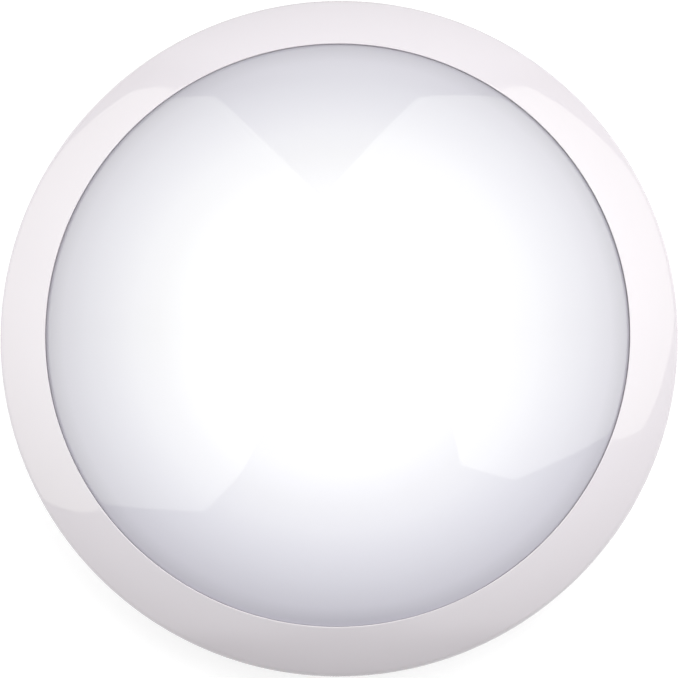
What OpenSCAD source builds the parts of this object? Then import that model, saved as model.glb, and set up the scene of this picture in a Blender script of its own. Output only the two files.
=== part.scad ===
// Round wall or ceiling light with an opal dome, a trim ring and a hidden microwave motion sensor.
// It lies on its back: the mounting face is at z = 0 and the dome points up. Millimetres.

/* [Trim ring] */
// Outer diameter of the trim ring
ring_d = 330; // [312:1:350]
// Width of the ring as seen from the front
ring_w = 24.6; // [21:0.2:27]
// Wall thickness of the ring
ring_wall = 2.4; // [1.8:0.1:3]
// Slope of the ring's face at the opening, in degrees
bevel_in = 28; // [20:1:32]
// Slope of the ring's face at the outer edge, in degrees
bevel_out = 36; // [30:1:42]
// Radius of the ring's outer shoulder
edge_r = 4; // [3.2:0.1:6]
// Radius of the ring's inner lip
lip_r = 0.9; // [0.5:0.1:1.2]
// How far the ring's side leans out on its way down
skirt_draft = 0.8; // [0:0.1:1.2]
// Height of the ring's lower edge above the mounting face
ring_clear = 22; // [19:0.5:24]

/* [Diffuser] */
// Rise of the dome above its edge
dome_h = 27; // [20:1:36]
// Share of the dome's curve that is a plain parabola
dome_round = 0.55; // [0.3:0.05:1]
// Wall thickness of the diffuser
diffuser_wall = 2; // [1.6:0.1:2.4]
// Thickness of the diffuser's flange
flange_t = 2.5; // [2:0.1:4]
// Radius of the dome's shoulder
dome_edge_r = 2.6; // [2.5:0.1:3.5]
// Diameter of the two pegs that stop the diffuser turning
peg_d = 3; // [2.4:0.1:3.6]

/* [Base] */
// Height of the base from the mounting face to its rim
base_h = 36; // [34:0.5:44]
// How far the base's wall lies inside the trim ring
base_inset = 15; // [14.4:0.2:17]
// Wall thickness of the base
base_wall = 2.5; // [2:0.1:3.2]
// Thickness of the base's floor
floor_t = 3; // [2.6:0.1:4]
// Radius of the base's back edge
back_r = 5; // [2:0.5:8]
// Height of the solid rim that carries the seal
rim_t = 5; // [4:0.1:6]
// Width of the seal
seal_w = 3.2; // [2.4:0.1:3.4]
// How far the seal stands above the rim
seal_proud = 2; // [1:0.1:3]
// Width of the foam gasket on the back
foam_w = 9; // [5:0.5:12]
// Thickness of the foam gasket
foam_t = 1.6; // [1:0.1:2]

/* [Fixings and entries] */
// Diameter of the circle that the wall fixings lie on
fixing_pcd = 220; // [200:2:230]
// Diameter of each wall fixing hole
fixing_d = 5.5; // [4.5:0.1:6.5]
// Distance between the two conduit box holes
box_span = 51; // [44:1:60]
// Diameter of the conduit box holes
box_d = 4.5; // [4:0.1:5.5]
// Diameter of the rear cable hole in the floor
rear_hole_d = 20; // [16:0.5:22]
// Diameter of the cable that the grommet takes
cable_d = 8; // [6:0.5:10]
// Diameter of the side conduit entries
entry_d = 20; // [16:0.5:20]
// Height of the side entries above the mounting face
entry_z = 13; // [12.8:0.1:14]

/* [Gear tray] */
// Height of the tray's underside above the mounting face
tray_z = 28; // [26:0.5:30]
// Sheet thickness of the tray
tray_t = 1; // [0.8:0.1:1.5]
// Depth of the tray's turned down edge
tray_lip = 5; // [3:0.5:7]
// Diameter of the screws that hold the tray
tray_screw_d = 3.5; // [3:0.1:4]
// Diameter of the cable hole in the tray
tray_hole_d = 18; // [14:0.5:20]

/* [LED board] */
// Outer radius of the LED board
board_r = 130; // [127:0.5:131]
// Inner radius of the LED board
board_in = 78; // [76:0.5:80]
// Thickness of the LED board
board_t = 1.6; // [1:0.1:2]
// Number of LEDs in the inner ring
led_n_in = 30; // [24:2:36]
// Number of LEDs in the outer ring
led_n_out = 42; // [36:2:48]
// Radius of the inner ring of LEDs
led_r_in = 98; // [96:0.5:100]
// Radius of the outer ring of LEDs
led_r_out = 120; // [117:0.5:122]
// Length of an LED package
led_l = 3.5; // [3:0.1:4]
// Width of an LED package
led_w = 2.8; // [2.4:0.1:3.2]
// Height of an LED package
led_h = 0.8; // [0.6:0.05:1]

/* [Driver] */
// Length of the driver's case
driver_l = 96; // [88:1:98]
// Width of the driver's case
driver_w = 34; // [31:0.5:35]
// Height of the driver's case
driver_h = 22; // [20:0.5:26]
// Wall thickness of the electronics cases
case_wall = 1.6; // [1.2:0.1:1.8]
// Thickness of the circuit boards
pcb_t = 1.6; // [1.2:0.1:2]

/* [Motion sensor] */
// Length of the sensor's case
sensor_l = 60; // [56:1:62]
// Width of the sensor's case
sensor_w = 40; // [38:0.5:41]
// Height of the sensor's case
sensor_h = 21; // [19:0.5:25]
// Diameter of the setting dials
dial_d = 9; // [7:0.1:10]
// Distance between the setting dials
dial_pitch = 15; // [13:0.5:16]
// How far the dials stand above the cover
dial_proud = 1.6; // [0.8:0.1:3]

/* [Terminal block] */
// Distance between the poles
pole_pitch = 11; // [10:0.2:11.6]
// Width of the terminal block
term_w = 22; // [20:0.5:24]
// Height of the terminal block
term_h = 17; // [15:0.5:20]
// Travel of the release buttons
button_travel = 2; // [1.2:0.1:2.4]
// How far a button stands above the block
button_proud = 2.8; // [2.5:0.1:4]

/* [Closure] */
// Number of spring catches
catch_n = 4; // [4:4:4]
// Width of a spring catch
catch_w = 12; // [9:0.5:14]
// Sheet thickness of a spring catch
catch_t = 0.6; // [0.4:0.05:0.8]
// How far the nose of a catch reaches over the ring's ledge
catch_bite = 3.4; // [2:0.1:4]
// Angle that each ledge of the ring covers, in degrees
ledge_angle = 14; // [10:1:16]
// Turn of the ring from locked to free, in degrees
ring_turn = 15; // [13:1:18]

/* [Wiring] */
// Outer diameter of the mains leads
lead_d = 2.4; // [1.8:0.1:2.6]
// Outer diameter of the LED leads
led_lead_d = 1.7; // [1.2:0.1:2]
// Number of sides on a lead
lead_sides = 8; // [8:1:12]

/* [Hidden] */
$fn = 96;

eps = 0.01;
gap = 0.3;
touch = 0.2;
arc_steps = 10;

ring_r = ring_d / 2;
opening_r = ring_r - ring_w;
skirt_top = ring_r - skirt_draft;
skirt_in = skirt_top - ring_wall;
base_r = ring_r - base_inset;
rim_in = base_r - 4;
rim_r = base_r + 3.5;
groove_in = base_r + touch - seal_w / 2 - 0.5;
groove_out = groove_in + seal_w + touch;
groove_depth = 2;
seat_z = base_h + seal_proud;
flange_top = seat_z + flange_t;
flange_r = rim_r + 3;

bevel_start = opening_r + lip_r * (1 + sin(bevel_in));
bevel_end = skirt_top - edge_r * (1 - sin(bevel_out));
bevel_w = bevel_end - bevel_start;
bevel_grow = tan(bevel_out) - tan(bevel_in);
lip_z = flange_top + drop(flange_r - bevel_start) + ring_wall / cos(bevel_out) + 0.8;
bevel_z = lip_z - lip_r * (1 - cos(bevel_in));
edge_z = bevel_z - drop(bevel_w) - edge_r * cos(bevel_out);
foot_r = 0.8;
return_t = 1.6;
return_z = lip_z - 5;
press_r = (groove_in + groove_out) / 2;
press_t = 2;
ledge_in = rim_r + 1.7;
ledge_h = 2.5;
nib_in = rim_r + 1.3;
nib_h = 2.2;
nib_n = 6;
nib_angle = 8;
gusset_n = 24;
gusset_t = 1.2;

collar_r = opening_r - 0.6;
shoulder_z = lip_z - 1.6;
dome_edge_angle = atan(dome_h * (4 - 2 * dome_round) / collar_r);
dome_r = collar_r - dome_edge_r * (1 - sin(dome_edge_angle));
apex_z = shoulder_z + dome_h;
collar_top = apex_z - dome_fall(dome_r) - dome_edge_r * cos(dome_edge_angle);
dome_steps = 36;
peg_r = rim_in - 0.9 - peg_d / 2;
peg_len = 5;
peg_angles = [22.5, 202.5];

catch_angles = [for (i = [0:catch_n - 1]) 45 + i * 360 / catch_n];
pad_r = base_r + 1;
nose_r = ledge_in + catch_bite;
nose_z = ring_clear + ledge_h + 0.6;
tail_clear = 1.7;
tail_z = base_h - rim_t - tail_clear;
catch_len = 19;
catch_foot_z = nose_z - catch_len;
catch_foot_l = 9;
catch_screw_z = catch_foot_z + catch_foot_l / 2;
catch_screw_d = 3;
catch_screw_len = 8;
stop_w = 3;

fixing_angles = [45, 135, 225, 315];
boss_h = 4;
washer_t = 2;
entry_angles = [0, 90, 180];
entry_boss_r = 13;
plug_head_r = 12.5;
plug_head_t = 3.5;
plug_len = 9;
entry_face = base_r + 1.2;
recess_depth = 2.5;
recess_r = 17;
grommet_flange = 2;
foam_r = base_r - back_r - 1.5;

tray_r = base_r - base_wall - 7.5;
tray_top = tray_z + tray_t;
tray_screw_edge = 4.5;
tray_post_r = tray_r - tray_t - tray_screw_edge;
tray_angles = [30, 150, 270];
post_d = 7.5;
tray_screw_len = 9;
tray_hole = [-50, -14];
small_d = 2.5;
small_head_d = 5.6;
small_head_h = 2;
small_len = 5;
ear_t = 2.4;

board_top = tray_top + board_t;
board_screw_r = (led_r_in + led_r_out) / 2;
board_screw_n = 6;
connector_angle = 162;

driver_at = [0, 39];
driver_base = 7;
driver_screw_x = driver_l / 2 - 4;
cap_x = [-28, -17, 27];
cap_d = 8;
cap_h = 13.4;

sensor_at = [0, -3];
sensor_split = tray_top + 10;
sensor_top = tray_top + sensor_h;
sensor_pcb_z = tray_top + 6;
dial_margin = 11;
dial_y = sensor_at[1] - sensor_w / 2 + dial_margin;
dial_x = [for (i = [-1:1]) sensor_at[0] + i * dial_pitch];
control_z = sensor_pcb_z + pcb_t;
control_h = 5;
dial_shaft = 3;
cell_x = sensor_at[0] + 18;
lamp_x = sensor_at[0] - 18;
window_y = sensor_at[1] + sensor_w / 4;
sensor_screw_y = sensor_at[1] + sensor_w / 2 - 8;
control_w = 8;
relay_size = [11, 8, 4.6];
relay_gap = 1;
relay_y = dial_y + control_w / 2 + relay_gap + relay_size[1] / 2;

term_at = [8, -46];
term_top = tray_top + term_h;
pole_n = 4;
pole_x = [for (i = [0:pole_n - 1]) term_at[0] + (i - (pole_n - 1) / 2) * pole_pitch];
term_l = pole_n * pole_pitch + 5;
button_l = 7;
button_w = 5;
button_depth = 6;
button_y = term_at[1] + 2;
port = 3.6;
port_z = tray_top + 7;

clamp_floor = tray_top + 1.6;

driver_end = driver_l / 2;
sensor_end = sensor_l / 2;
lead_rows = [-5, 5];
lead_z = tray_top + 8;
sensor_in = [-8, 0];
sensor_out = [-14, -8, 0];
sensor_lead_z = tray_top + 3.6;

term_back = term_at[1] + term_w / 2;
lane_near = 3.6;
lane_far = 7;
lane_step = 4;

clamp_at = [-48, -37];
clamp_l = 24;
clamp_w = 7;
earth_at = [50, -31];
earth_z = tray_top + 1.8;

live_y = driver_at[1] + lead_rows[0];
neutral_y = driver_at[1] + lead_rows[1];
driver_path = [
    [[sensor_end - 2, -3], [sensor_end + 6, -3], [sensor_end + 17, 1], [driver_end + 7, 14],
        [driver_end + 10, 26], [driver_end + 6, live_y], [driver_end - 3, live_y]],
    [[sensor_end - 2, -11], [sensor_end + 6, -11], [sensor_end + 20, -6], [driver_end + 14, 8],
        [driver_end + 19, 26], [driver_end + 14, neutral_y - 4], [driver_end + 6, neutral_y],
        [driver_end - 3, neutral_y]]];
led_path = [
    [[3 - driver_end, live_y], [-driver_end - 4, live_y - 0.5], [-driver_end - 9, 27],
        [-driver_end - 15, 21.5]],
    [[3 - driver_end, neutral_y], [-driver_end - 5, neutral_y - 1], [-driver_end - 11, 35],
        [-driver_end - 16, 26.5]]];

// Drop of the ring's face at a distance outward from where it starts
function drop(u) = tan(bevel_in) * u + bevel_grow * pow(u, 3) / (3 * pow(bevel_w, 2));
// Slope angle of the ring's face at that distance
function face_angle(u) = atan(tan(bevel_in) + bevel_grow * pow(u / bevel_w, 2));
// Fall of the dome's outer surface below its top, at radius r
function dome_fall(r) =
    dome_h * (dome_round * pow(r / collar_r, 2) + (1 - dome_round) * pow(r / collar_r, 4));
// Slope angle of the dome at radius r
function dome_angle(r) =
    atan(dome_h / collar_r * (2 * dome_round * r / collar_r
        + 4 * (1 - dome_round) * pow(r / collar_r, 3)));
// Points of an arc about c, from angle a0 to angle a1
function arc(c, r, a0, a1, n = arc_steps) =
    [for (i = [0:n]) c + r * [cos(a0 + (a1 - a0) * i / n), sin(a0 + (a1 - a0) * i / n)]];
// The ring's face from its outer end to its lip, moved inward by t along its own normal
function face_line(t, n) =
    [for (i = [n:-1:0])
        let (u = bevel_w * i / n, a = face_angle(u))
        [bevel_start + u - t * sin(a), bevel_z - drop(u) - t * cos(a)]];
// The dome from its top to its shoulder, moved inward by t
function dome_line(t, n) =
    [for (i = [0:n])
        let (r = dome_r * i / n, a = dome_angle(r))
        [max(0, r - t * sin(a)), apex_z - dome_fall(r) - t * cos(a)]];
function reversed(p) = [for (i = [len(p) - 1:-1:0]) p[i]];
function unit(v) = v / norm(v);

// A ribbon of thickness t along the points p of a flat line
function ribbon_side(p, t) =
    [for (i = [0:len(p) - 1])
        let (
            before = i == 0 ? p[1] - p[0] : p[i] - p[i - 1],
            after = i == len(p) - 1 ? before : p[i + 1] - p[i],
            d = unit(unit(before) + unit(after))
        )
        p[i] + t / 2 * [-d[1], d[0]]];
function ribbon(p, t) = concat(ribbon_side(p, t), reversed(ribbon_side(p, -t)));

// A smooth curve through the points p, with n steps between neighbours
function spline_point(a, b, c, d, s) =
    0.5 * (2 * b + (c - a) * s + (2 * a - 5 * b + 4 * c - d) * s * s
        + (3 * b - a - 3 * c + d) * s * s * s);
function spline(p, n) =
    concat([for (i = [0:len(p) - 2], k = [0:n - 1])
        spline_point(p[max(0, i - 1)], p[i], p[i + 1], p[min(len(p) - 1, i + 2)], k / n)],
        [p[len(p) - 1]]);
function tangents(p) =
    [for (i = [0:len(p) - 1]) unit(p[min(i + 1, len(p) - 1)] - p[max(i - 1, 0)])];
// Side directions that turn as little as they can along the tangents t
function side_axes(t, i = 0, found = []) =
    i == len(t) ? found :
    let (
        last = i == 0 ? (abs(t[0][2]) > 0.9 ? [1, 0, 0] : [0, 0, 1]) : found[i - 1],
        side = unit(last - (last * t[i]) * t[i])
    )
    side_axes(t, i + 1, concat(found, [side]));

// A round lead of diameter d along a smooth curve through the points p
module lead(p, d, n = 4) {
    line = spline(p, n);
    t = tangents(line);
    a = side_axes(t);
    s = lead_sides;
    rings = [for (i = [0:len(line) - 1], k = [0:s - 1])
        line[i] + d / 2 * (cos(360 * k / s) * a[i] + sin(360 * k / s) * cross(t[i], a[i]))];
    last = (len(line) - 1) * s;
    sides = [for (i = [0:len(line) - 2], k = [0:s - 1])
        [i * s + k, (i + 1) * s + k, (i + 1) * s + (k + 1) % s, i * s + (k + 1) % s]];
    polyhedron(rings, concat([[for (k = [0:s - 1]) k]], sides, [[for (k = [s - 1:-1:0]) last + k]]));
}

// A pan head screw with a cross recess, its seat at the origin and its shank pointing down
module pan_screw(d, len, head_d, head_h) {
    slot_w = head_d * 0.16;
    slot_l = head_d * 0.56;
    difference() {
        union() {
            cylinder(h = head_h * 0.6, d = head_d);
            translate([0, 0, head_h * 0.6]) cylinder(h = head_h * 0.4, d1 = head_d, d2 = head_d * 0.72);
            translate([0, 0, -len]) cylinder(h = len + eps, d = d);
        }
        translate([-slot_l / 2, -slot_w / 2, head_h * 0.45]) cube([slot_l, slot_w, head_h]);
        translate([-slot_w / 2, -slot_l / 2, head_h * 0.45]) cube([slot_w, slot_l, head_h]);
    }
}

// The small screw that holds the board and the housings on the tray
module small_screw(len) {
    pan_screw(small_d, len, small_head_d, small_head_h);
}

// Places its children at radius r and angle a, turned to face outward
module polar(r, a) {
    rotate([0, 0, a]) translate([r, 0, 0]) children();
}

// A block with its lowest corner at p, centred on x and y
module block(size, p) {
    translate([p[0] - size[0] / 2, p[1] - size[1] / 2, p[2]]) cube(size);
}

// A block whose upright edges are rounded
module round_block(size, p, r) {
    x = size[0] / 2 - r;
    y = size[1] / 2 - r;
    translate(p) linear_extrude(size[2]) polygon(concat(
        arc([x, y], r, 0, 90, 4), arc([-x, y], r, 90, 180, 4),
        arc([-x, -y], r, 180, 270, 4), arc([x, -y], r, 270, 360, 4)));
}

module trim_ring() {
    face = face_line(0, 24);
    under = [for (q = reversed(face_line(ring_wall, 24))) if (q[0] > opening_r + return_t + 0.3) q];
    shoulder = [skirt_top - edge_r, edge_z];
    lip = [opening_r + lip_r, lip_z - lip_r];
    profile = concat(
        [[skirt_in, ring_clear], [ring_r - foot_r, ring_clear]],
        arc([ring_r - foot_r, ring_clear + foot_r], foot_r, -90, 0, 4),
        arc(shoulder, edge_r, 0, 90 - bevel_out),
        face,
        arc(lip, lip_r, 90 - bevel_in, 180, 8),
        [[opening_r, return_z], [opening_r + return_t, return_z], [opening_r + return_t, under[0][1]]],
        under,
        arc(shoulder, edge_r - ring_wall, 90 - bevel_out, 0, 4));
    press_top = lip_z - drop(press_r - bevel_start) - ring_wall / 2;
    gusset_r = flange_r + 1.2;
    gusset_z = ring_clear + ledge_h + 7;
    color("whitesmoke") union() {
        rotate_extrude($fn = 180) polygon(profile);
        rotate_extrude()
            translate([press_r - press_t / 2, flange_top + touch])
                square([press_t, press_top - flange_top - touch]);
        for (a = catch_angles)
            rotate([0, 0, a - ledge_angle / 2])
                rotate_extrude(angle = ledge_angle)
                    translate([ledge_in, ring_clear]) square([skirt_in - ledge_in + 1, ledge_h]);
        for (i = [0:nib_n - 1])
            rotate([0, 0, 360 * i / nib_n - nib_angle / 2])
                rotate_extrude(angle = nib_angle)
                    translate([nib_in, seat_z - gap - nib_h]) square([skirt_in - nib_in + 1, nib_h]);
        for (i = [0:gusset_n - 1])
            rotate([90, 0, 360 * (i + 0.5) / gusset_n])
                translate([0, 0, -gusset_t / 2])
                    linear_extrude(gusset_t)
                        polygon([
                            [skirt_in + 1, gusset_z], [skirt_in + 1, edge_z],
                            [gusset_r, lip_z - drop(gusset_r - bevel_start) - ring_wall * 0.7],
                            [gusset_r, edge_z - 1]]);
    }
}

module diffuser() {
    shoulder = [collar_r - dome_edge_r, collar_top];
    outer = concat(
        dome_line(0, dome_steps),
        arc(shoulder, dome_edge_r, 90 - dome_edge_angle, 0, 8));
    inner = concat(
        dome_line(diffuser_wall, dome_steps),
        arc(shoulder, dome_edge_r - diffuser_wall, 90 - dome_edge_angle, 0, 4));
    root = [collar_r + 1.4, flange_top + 1.4];
    profile = concat(
        reversed(outer), inner,
        [[collar_r - diffuser_wall, seat_z], [flange_r, seat_z], [flange_r, flange_top]],
        arc(root, 1.4, 270, 180, 6));
    color("white", 0.9) union() {
        rotate_extrude($fn = 180) polygon(profile);
        for (a = peg_angles)
            polar(peg_r, a)
                translate([0, 0, seat_z - peg_len]) cylinder(h = peg_len + 1, d = peg_d);
    }
}

module base_pan() {
    inner_r = base_r - base_wall;
    shell = concat(
        [[0, floor_t], [0, 0]],
        arc([base_r - back_r, back_r], back_r, -90, 0, 8),
        [[base_r, base_h - rim_t - 3], [rim_r, base_h - rim_t], [rim_r, base_h - 0.6],
            [rim_r - 0.6, base_h], [groove_out, base_h], [groove_out, base_h - groove_depth],
            [groove_in, base_h - groove_depth], [groove_in, base_h], [rim_in, base_h],
            [rim_in, base_h - rim_t], [inner_r, base_h - rim_t - 2], [inner_r, floor_t + 2],
            [inner_r - 2, floor_t]]);
    stop_half = stop_w / 2 / base_r * 180 / PI;
    color("whitesmoke") difference() {
        union() {
            rotate_extrude($fn = 180) polygon(shell);
            cylinder(h = recess_depth + floor_t, r = recess_r + 3);
            for (a = fixing_angles)
                polar(fixing_pcd / 2, a) cylinder(h = floor_t + boss_h, d = fixing_d + 8.5);
            for (x = [-1, 1])
                translate([x * box_span / 2, 0, 0]) cylinder(h = floor_t + boss_h, d = box_d + 5.5);
            for (a = tray_angles)
                polar(tray_post_r, a) cylinder(h = tray_z, d = post_d);
            for (a = entry_angles)
                rotate([0, 0, a]) translate([base_r - 6, 0, entry_z])
                    rotate([0, 90, 0]) cylinder(h = entry_face - base_r + 6, r = entry_boss_r - 0.2);
            for (a = catch_angles) {
                rotate([0, 0, a])
                    translate([base_r - base_wall / 2, -catch_w / 2 - 1, catch_foot_z - 1])
                        cube([pad_r - base_r + base_wall / 2, catch_w + 2, 10]);
                rotate([0, 0, a]) translate([pad_r - catch_screw_len - 3, 0, catch_screw_z])
                    rotate([0, 90, 0]) cylinder(h = catch_screw_len + 2, d = catch_screw_d + 5);
            }
            for (a = [catch_angles[0], catch_angles[2]]) {
                rotate([0, 0, a - ledge_angle / 2 - 2 * stop_half - 0.3]) turn_stop();
                rotate([0, 0, a + ledge_angle / 2 + ring_turn + 0.3]) turn_stop();
            }
            for (a = peg_angles, y = [-1, 1])
                rotate([0, 0, a])
                    translate([tray_r + 1.5, y * (peg_d / 2 + gap + 1) - 1, base_h - rim_t - 3])
                        cube([inner_r - tray_r, 2, rim_t + 2]);
            for (i = [0:7])
                rotate([0, 0, 22.5 + i * 45])
                    translate([recess_r + 2, -0.8, floor_t - 1]) cube([inner_r - recess_r - 2.5, 1.6, 3.5]);
        }
        translate([0, 0, -1]) cylinder(h = recess_depth + 1, r = recess_r);
        translate([0, 0, -1]) cylinder(h = recess_depth + floor_t + 2, d = rear_hole_d);
        translate([0, 0, -1]) ring_cut(foam_r - foam_w, foam_r, foam_t + 1);
        translate([0, 0, -1]) ring_cut(box_span / 2 + 10, fixing_pcd / 2 - 12, 2);
        for (a = fixing_angles)
            polar(fixing_pcd / 2, a) translate([0, 0, -1]) cylinder(h = floor_t + boss_h + 2, d = fixing_d);
        for (x = [-1, 1])
            translate([x * box_span / 2, 0, -1]) cylinder(h = floor_t + boss_h + 2, d = box_d);
        for (a = tray_angles)
            polar(tray_post_r, a) translate([0, 0, tray_z - 12]) cylinder(h = 13, d = tray_screw_d - 0.6);
        for (a = entry_angles)
            rotate([0, 0, a]) translate([base_r - 10, 0, entry_z])
                rotate([0, 90, 0]) cylinder(h = 20, d = entry_d);
        for (a = catch_angles)
            rotate([0, 0, a]) translate([pad_r - catch_screw_len - 1, 0, catch_screw_z])
                rotate([0, 90, 0]) cylinder(h = catch_screw_len + 2, d = catch_screw_d - 0.5);
    }
}

// A block on the base's wall that ends the ring's turn
module turn_stop() {
    sweep = stop_w / base_r * 180 / PI;
    rotate_extrude(angle = sweep)
        translate([base_r - 1, ring_clear - 3]) square([skirt_in - 1.2 - base_r + 1, ledge_h + 2.5]);
}

module ring_cut(r0, r1, h) {
    difference() {
        cylinder(h = h, r = r1);
        translate([0, 0, -1]) cylinder(h = h + 2, r = r0);
    }
}

module wall_gasket() {
    color("dimgray") ring_cut(foam_r - foam_w, foam_r, foam_t);
}

module rim_seal() {
    middle = (groove_in + groove_out) / 2;
    color("lightgray") rotate_extrude($fn = 180)
        translate([middle - seal_w / 2, base_h - groove_depth]) polygon([
            [0, 0], [seal_w, 0], [seal_w, groove_depth], [seal_w - 0.6, groove_depth + seal_proud],
            [0.6, groove_depth + seal_proud], [0, groove_depth]]);
}

module cable_grommet() {
    neck_r = rear_hole_d / 2 - eps;
    lip = 3;
    profile = [
        [cable_d / 2, recess_depth - grommet_flange], [neck_r + lip, recess_depth - grommet_flange],
        [neck_r + lip, recess_depth], [neck_r, recess_depth], [neck_r, recess_depth + floor_t],
        [neck_r + lip - 0.6, recess_depth + floor_t], [neck_r + lip - 1.4, recess_depth + floor_t + 1.8],
        [cable_d / 2 + 3, recess_depth + floor_t + 2.4], [cable_d / 2 + 1.2, recess_depth + floor_t + 9],
        [cable_d / 2, recess_depth + floor_t + 9]];
    color("slategray") rotate_extrude() polygon(profile);
}

module hole_washers() {
    spots = concat(
        [for (a = fixing_angles) [fixing_pcd / 2 * cos(a), fixing_pcd / 2 * sin(a), fixing_d]],
        [for (x = [-1, 1]) [x * box_span / 2, 0, box_d]]);
    color("slategray") for (s = spots)
        translate([s[0], s[1], floor_t + boss_h])
            ring_cut(s[2] / 2 + touch, s[2] / 2 + 2.6, washer_t);
}

module entry_plugs() {
    color("whitesmoke") for (a = entry_angles)
        rotate([0, 0, a]) translate([entry_face + 1.2, 0, entry_z]) rotate([0, 90, 0]) difference() {
            union() {
                cylinder(h = plug_head_t - 0.8, r = plug_head_r);
                translate([0, 0, plug_head_t - 0.8])
                    cylinder(h = 0.8, r1 = plug_head_r, r2 = plug_head_r - 0.8);
                translate([0, 0, -plug_len]) cylinder(h = plug_len + eps, d = entry_d - 2 * touch);
            }
            translate([-8, -1.2, plug_head_t - 1.6]) cube([16, 2.4, 3]);
            translate([0, 0, -plug_len - 1]) cylinder(h = plug_len - 1, d = entry_d - 5);
        }
}

module entry_seals() {
    color("slategray") for (a = entry_angles)
        rotate([0, 0, a]) translate([entry_face, 0, entry_z]) rotate([0, 90, 0])
            ring_cut(entry_d / 2, entry_d / 2 + 2, 1.2);
}

module catch_springs() {
    leaf = pad_r + catch_t / 2;
    line = [
        [leaf, catch_foot_z], [leaf, catch_foot_z + catch_foot_l],
        [leaf + 0.9, catch_foot_z + catch_foot_l + 3],
        [leaf + 1.2, nose_z - 0.6], [nose_r - 1, nose_z + 0.4], [nose_r, nose_z + 1.2],
        [nose_r - 0.8, nose_z + 2], [leaf + 1.4, tail_z]];
    color("silver") for (a = catch_angles)
        rotate([90, 0, a]) translate([0, 0, -catch_w / 2]) difference() {
            linear_extrude(catch_w) polygon(ribbon(line, catch_t));
            translate([pad_r - 1, catch_screw_z, catch_w / 2])
                rotate([0, 90, 0]) cylinder(h = 4, d = catch_screw_d + 0.4);
        }
}

module catch_screws() {
    color("silver") for (a = catch_angles)
        rotate([0, 0, a]) translate([pad_r + catch_t, 0, catch_screw_z]) rotate([0, 90, 0])
            pan_screw(catch_screw_d - 0.5, catch_screw_len - 1, 5.6, 2);
}

module gear_tray() {
    color("white") difference() {
        union() {
            translate([0, 0, tray_z]) cylinder(h = tray_t, r = tray_r);
            translate([0, 0, tray_z - tray_lip]) ring_cut(tray_r - tray_t, tray_r, tray_lip + eps);
        }
        for (a = tray_angles)
            polar(tray_post_r, a) translate([0, 0, tray_z - 1]) cylinder(h = 4, d = tray_screw_d + 1);
        translate([tray_hole[0], tray_hole[1], tray_z - 1]) cylinder(h = 4, d = tray_hole_d);
        for (i = [0:board_screw_n - 1])
            polar(board_screw_r, i * 360 / board_screw_n)
                translate([0, 0, tray_z - 1]) cylinder(h = 4, d = 2.5);
        for (p = tapped_holes()) translate([p[0], p[1], tray_z - 1]) cylinder(h = 4, d = 2.5);
        translate([earth_at[0], earth_at[1], tray_z - 1]) cylinder(h = 4, d = 3.2);
    }
}

// Where the small screws of the driver, sensor, terminal block and cable clamp enter the tray
function tapped_holes() = concat(
    [for (x = [-1, 1]) [driver_at[0] + x * driver_screw_x, driver_at[1] - driver_w / 2 - 3]],
    [for (x = [-1, 1]) [sensor_at[0] + x * (sensor_l / 2 + 3.2), sensor_screw_y]],
    [for (x = [-1, 1]) [term_at[0] + x * (term_l / 2 + 3.2), term_at[1] - 4]],
    [for (x = [-1, 1]) [clamp_at[0] + x * (clamp_l / 2 - 3.5), clamp_at[1]]]);

module tray_screws() {
    color("silver") for (a = tray_angles)
        polar(tray_post_r, a) translate([0, 0, tray_top])
            pan_screw(tray_screw_d - 0.6, tray_screw_len, 2 * tray_screw_d, 2.2);
}

module tray_bush() {
    r = tray_hole_d / 2 - eps;
    color("black") translate([tray_hole[0], tray_hole[1], 0]) rotate_extrude() polygon([
        [r - 1.4, tray_z - 1.6], [r + 1.4, tray_z - 1.6], [r + 1.4, tray_z], [r, tray_z], [r, tray_top],
        [r + 1.4, tray_top], [r + 1.4, tray_top + 1], [r + 0.8, tray_top + 1.6],
        [r - 1.4, tray_top + 1.6]]);
}

module led_board() {
    color("white") difference() {
        translate([0, 0, tray_top]) cylinder(h = board_t, r = board_r);
        translate([0, 0, tray_top - 1]) cylinder(h = board_t + 2, r = board_in);
        for (i = [0:board_screw_n - 1])
            polar(board_screw_r, i * 360 / board_screw_n)
                translate([0, 0, tray_top - 1]) cylinder(h = board_t + 2, d = 3.3);
        for (a = tray_angles)
            polar(tray_post_r, a) translate([0, 0, tray_top - 1])
                cylinder(h = board_t + 2, d = 2 * tray_screw_d + 2 * gap);
    }
}

// Places its children at every LED
module at_leds() {
    for (i = [0:led_n_in - 1]) rotate([0, 0, 360 * (i + 0.5) / led_n_in]) translate([led_r_in, 0, 0]) children();
    for (i = [0:led_n_out - 1])
        rotate([0, 0, 360 * (i + 0.5) / led_n_out]) translate([led_r_out, 0, 0]) children();
}

module led_packages() {
    color("ivory") at_leds() difference() {
        block([led_l, led_w, led_h], [0, 0, board_top]);
        block([led_l - 1, led_w - 0.8, 1], [0, 0, board_top + led_h / 2]);
    }
}

module led_phosphors() {
    color("gold") at_leds() block([led_l - 1, led_w - 0.8, led_h / 2 - 0.05], [0, 0, board_top + led_h / 2]);
}

module board_screws() {
    color("silver") for (i = [0:board_screw_n - 1])
        polar(board_screw_r, i * 360 / board_screw_n) translate([0, 0, board_top]) small_screw(small_len + 1);
}

module led_connector() {
    color("white") rotate([0, 0, connector_angle]) translate([board_in + 6.5, 0, 0]) difference() {
        union() {
            block([9, 8, 4.5], [0, 0, board_top]);
            block([4, 5, 1], [1, 0, board_top + 4.5 - eps]);
        }
        for (y = [-2, 2]) block([6, led_lead_d + 0.3, led_lead_d + 0.3], [-3, y, board_top + 1.2]);
    }
}

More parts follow.
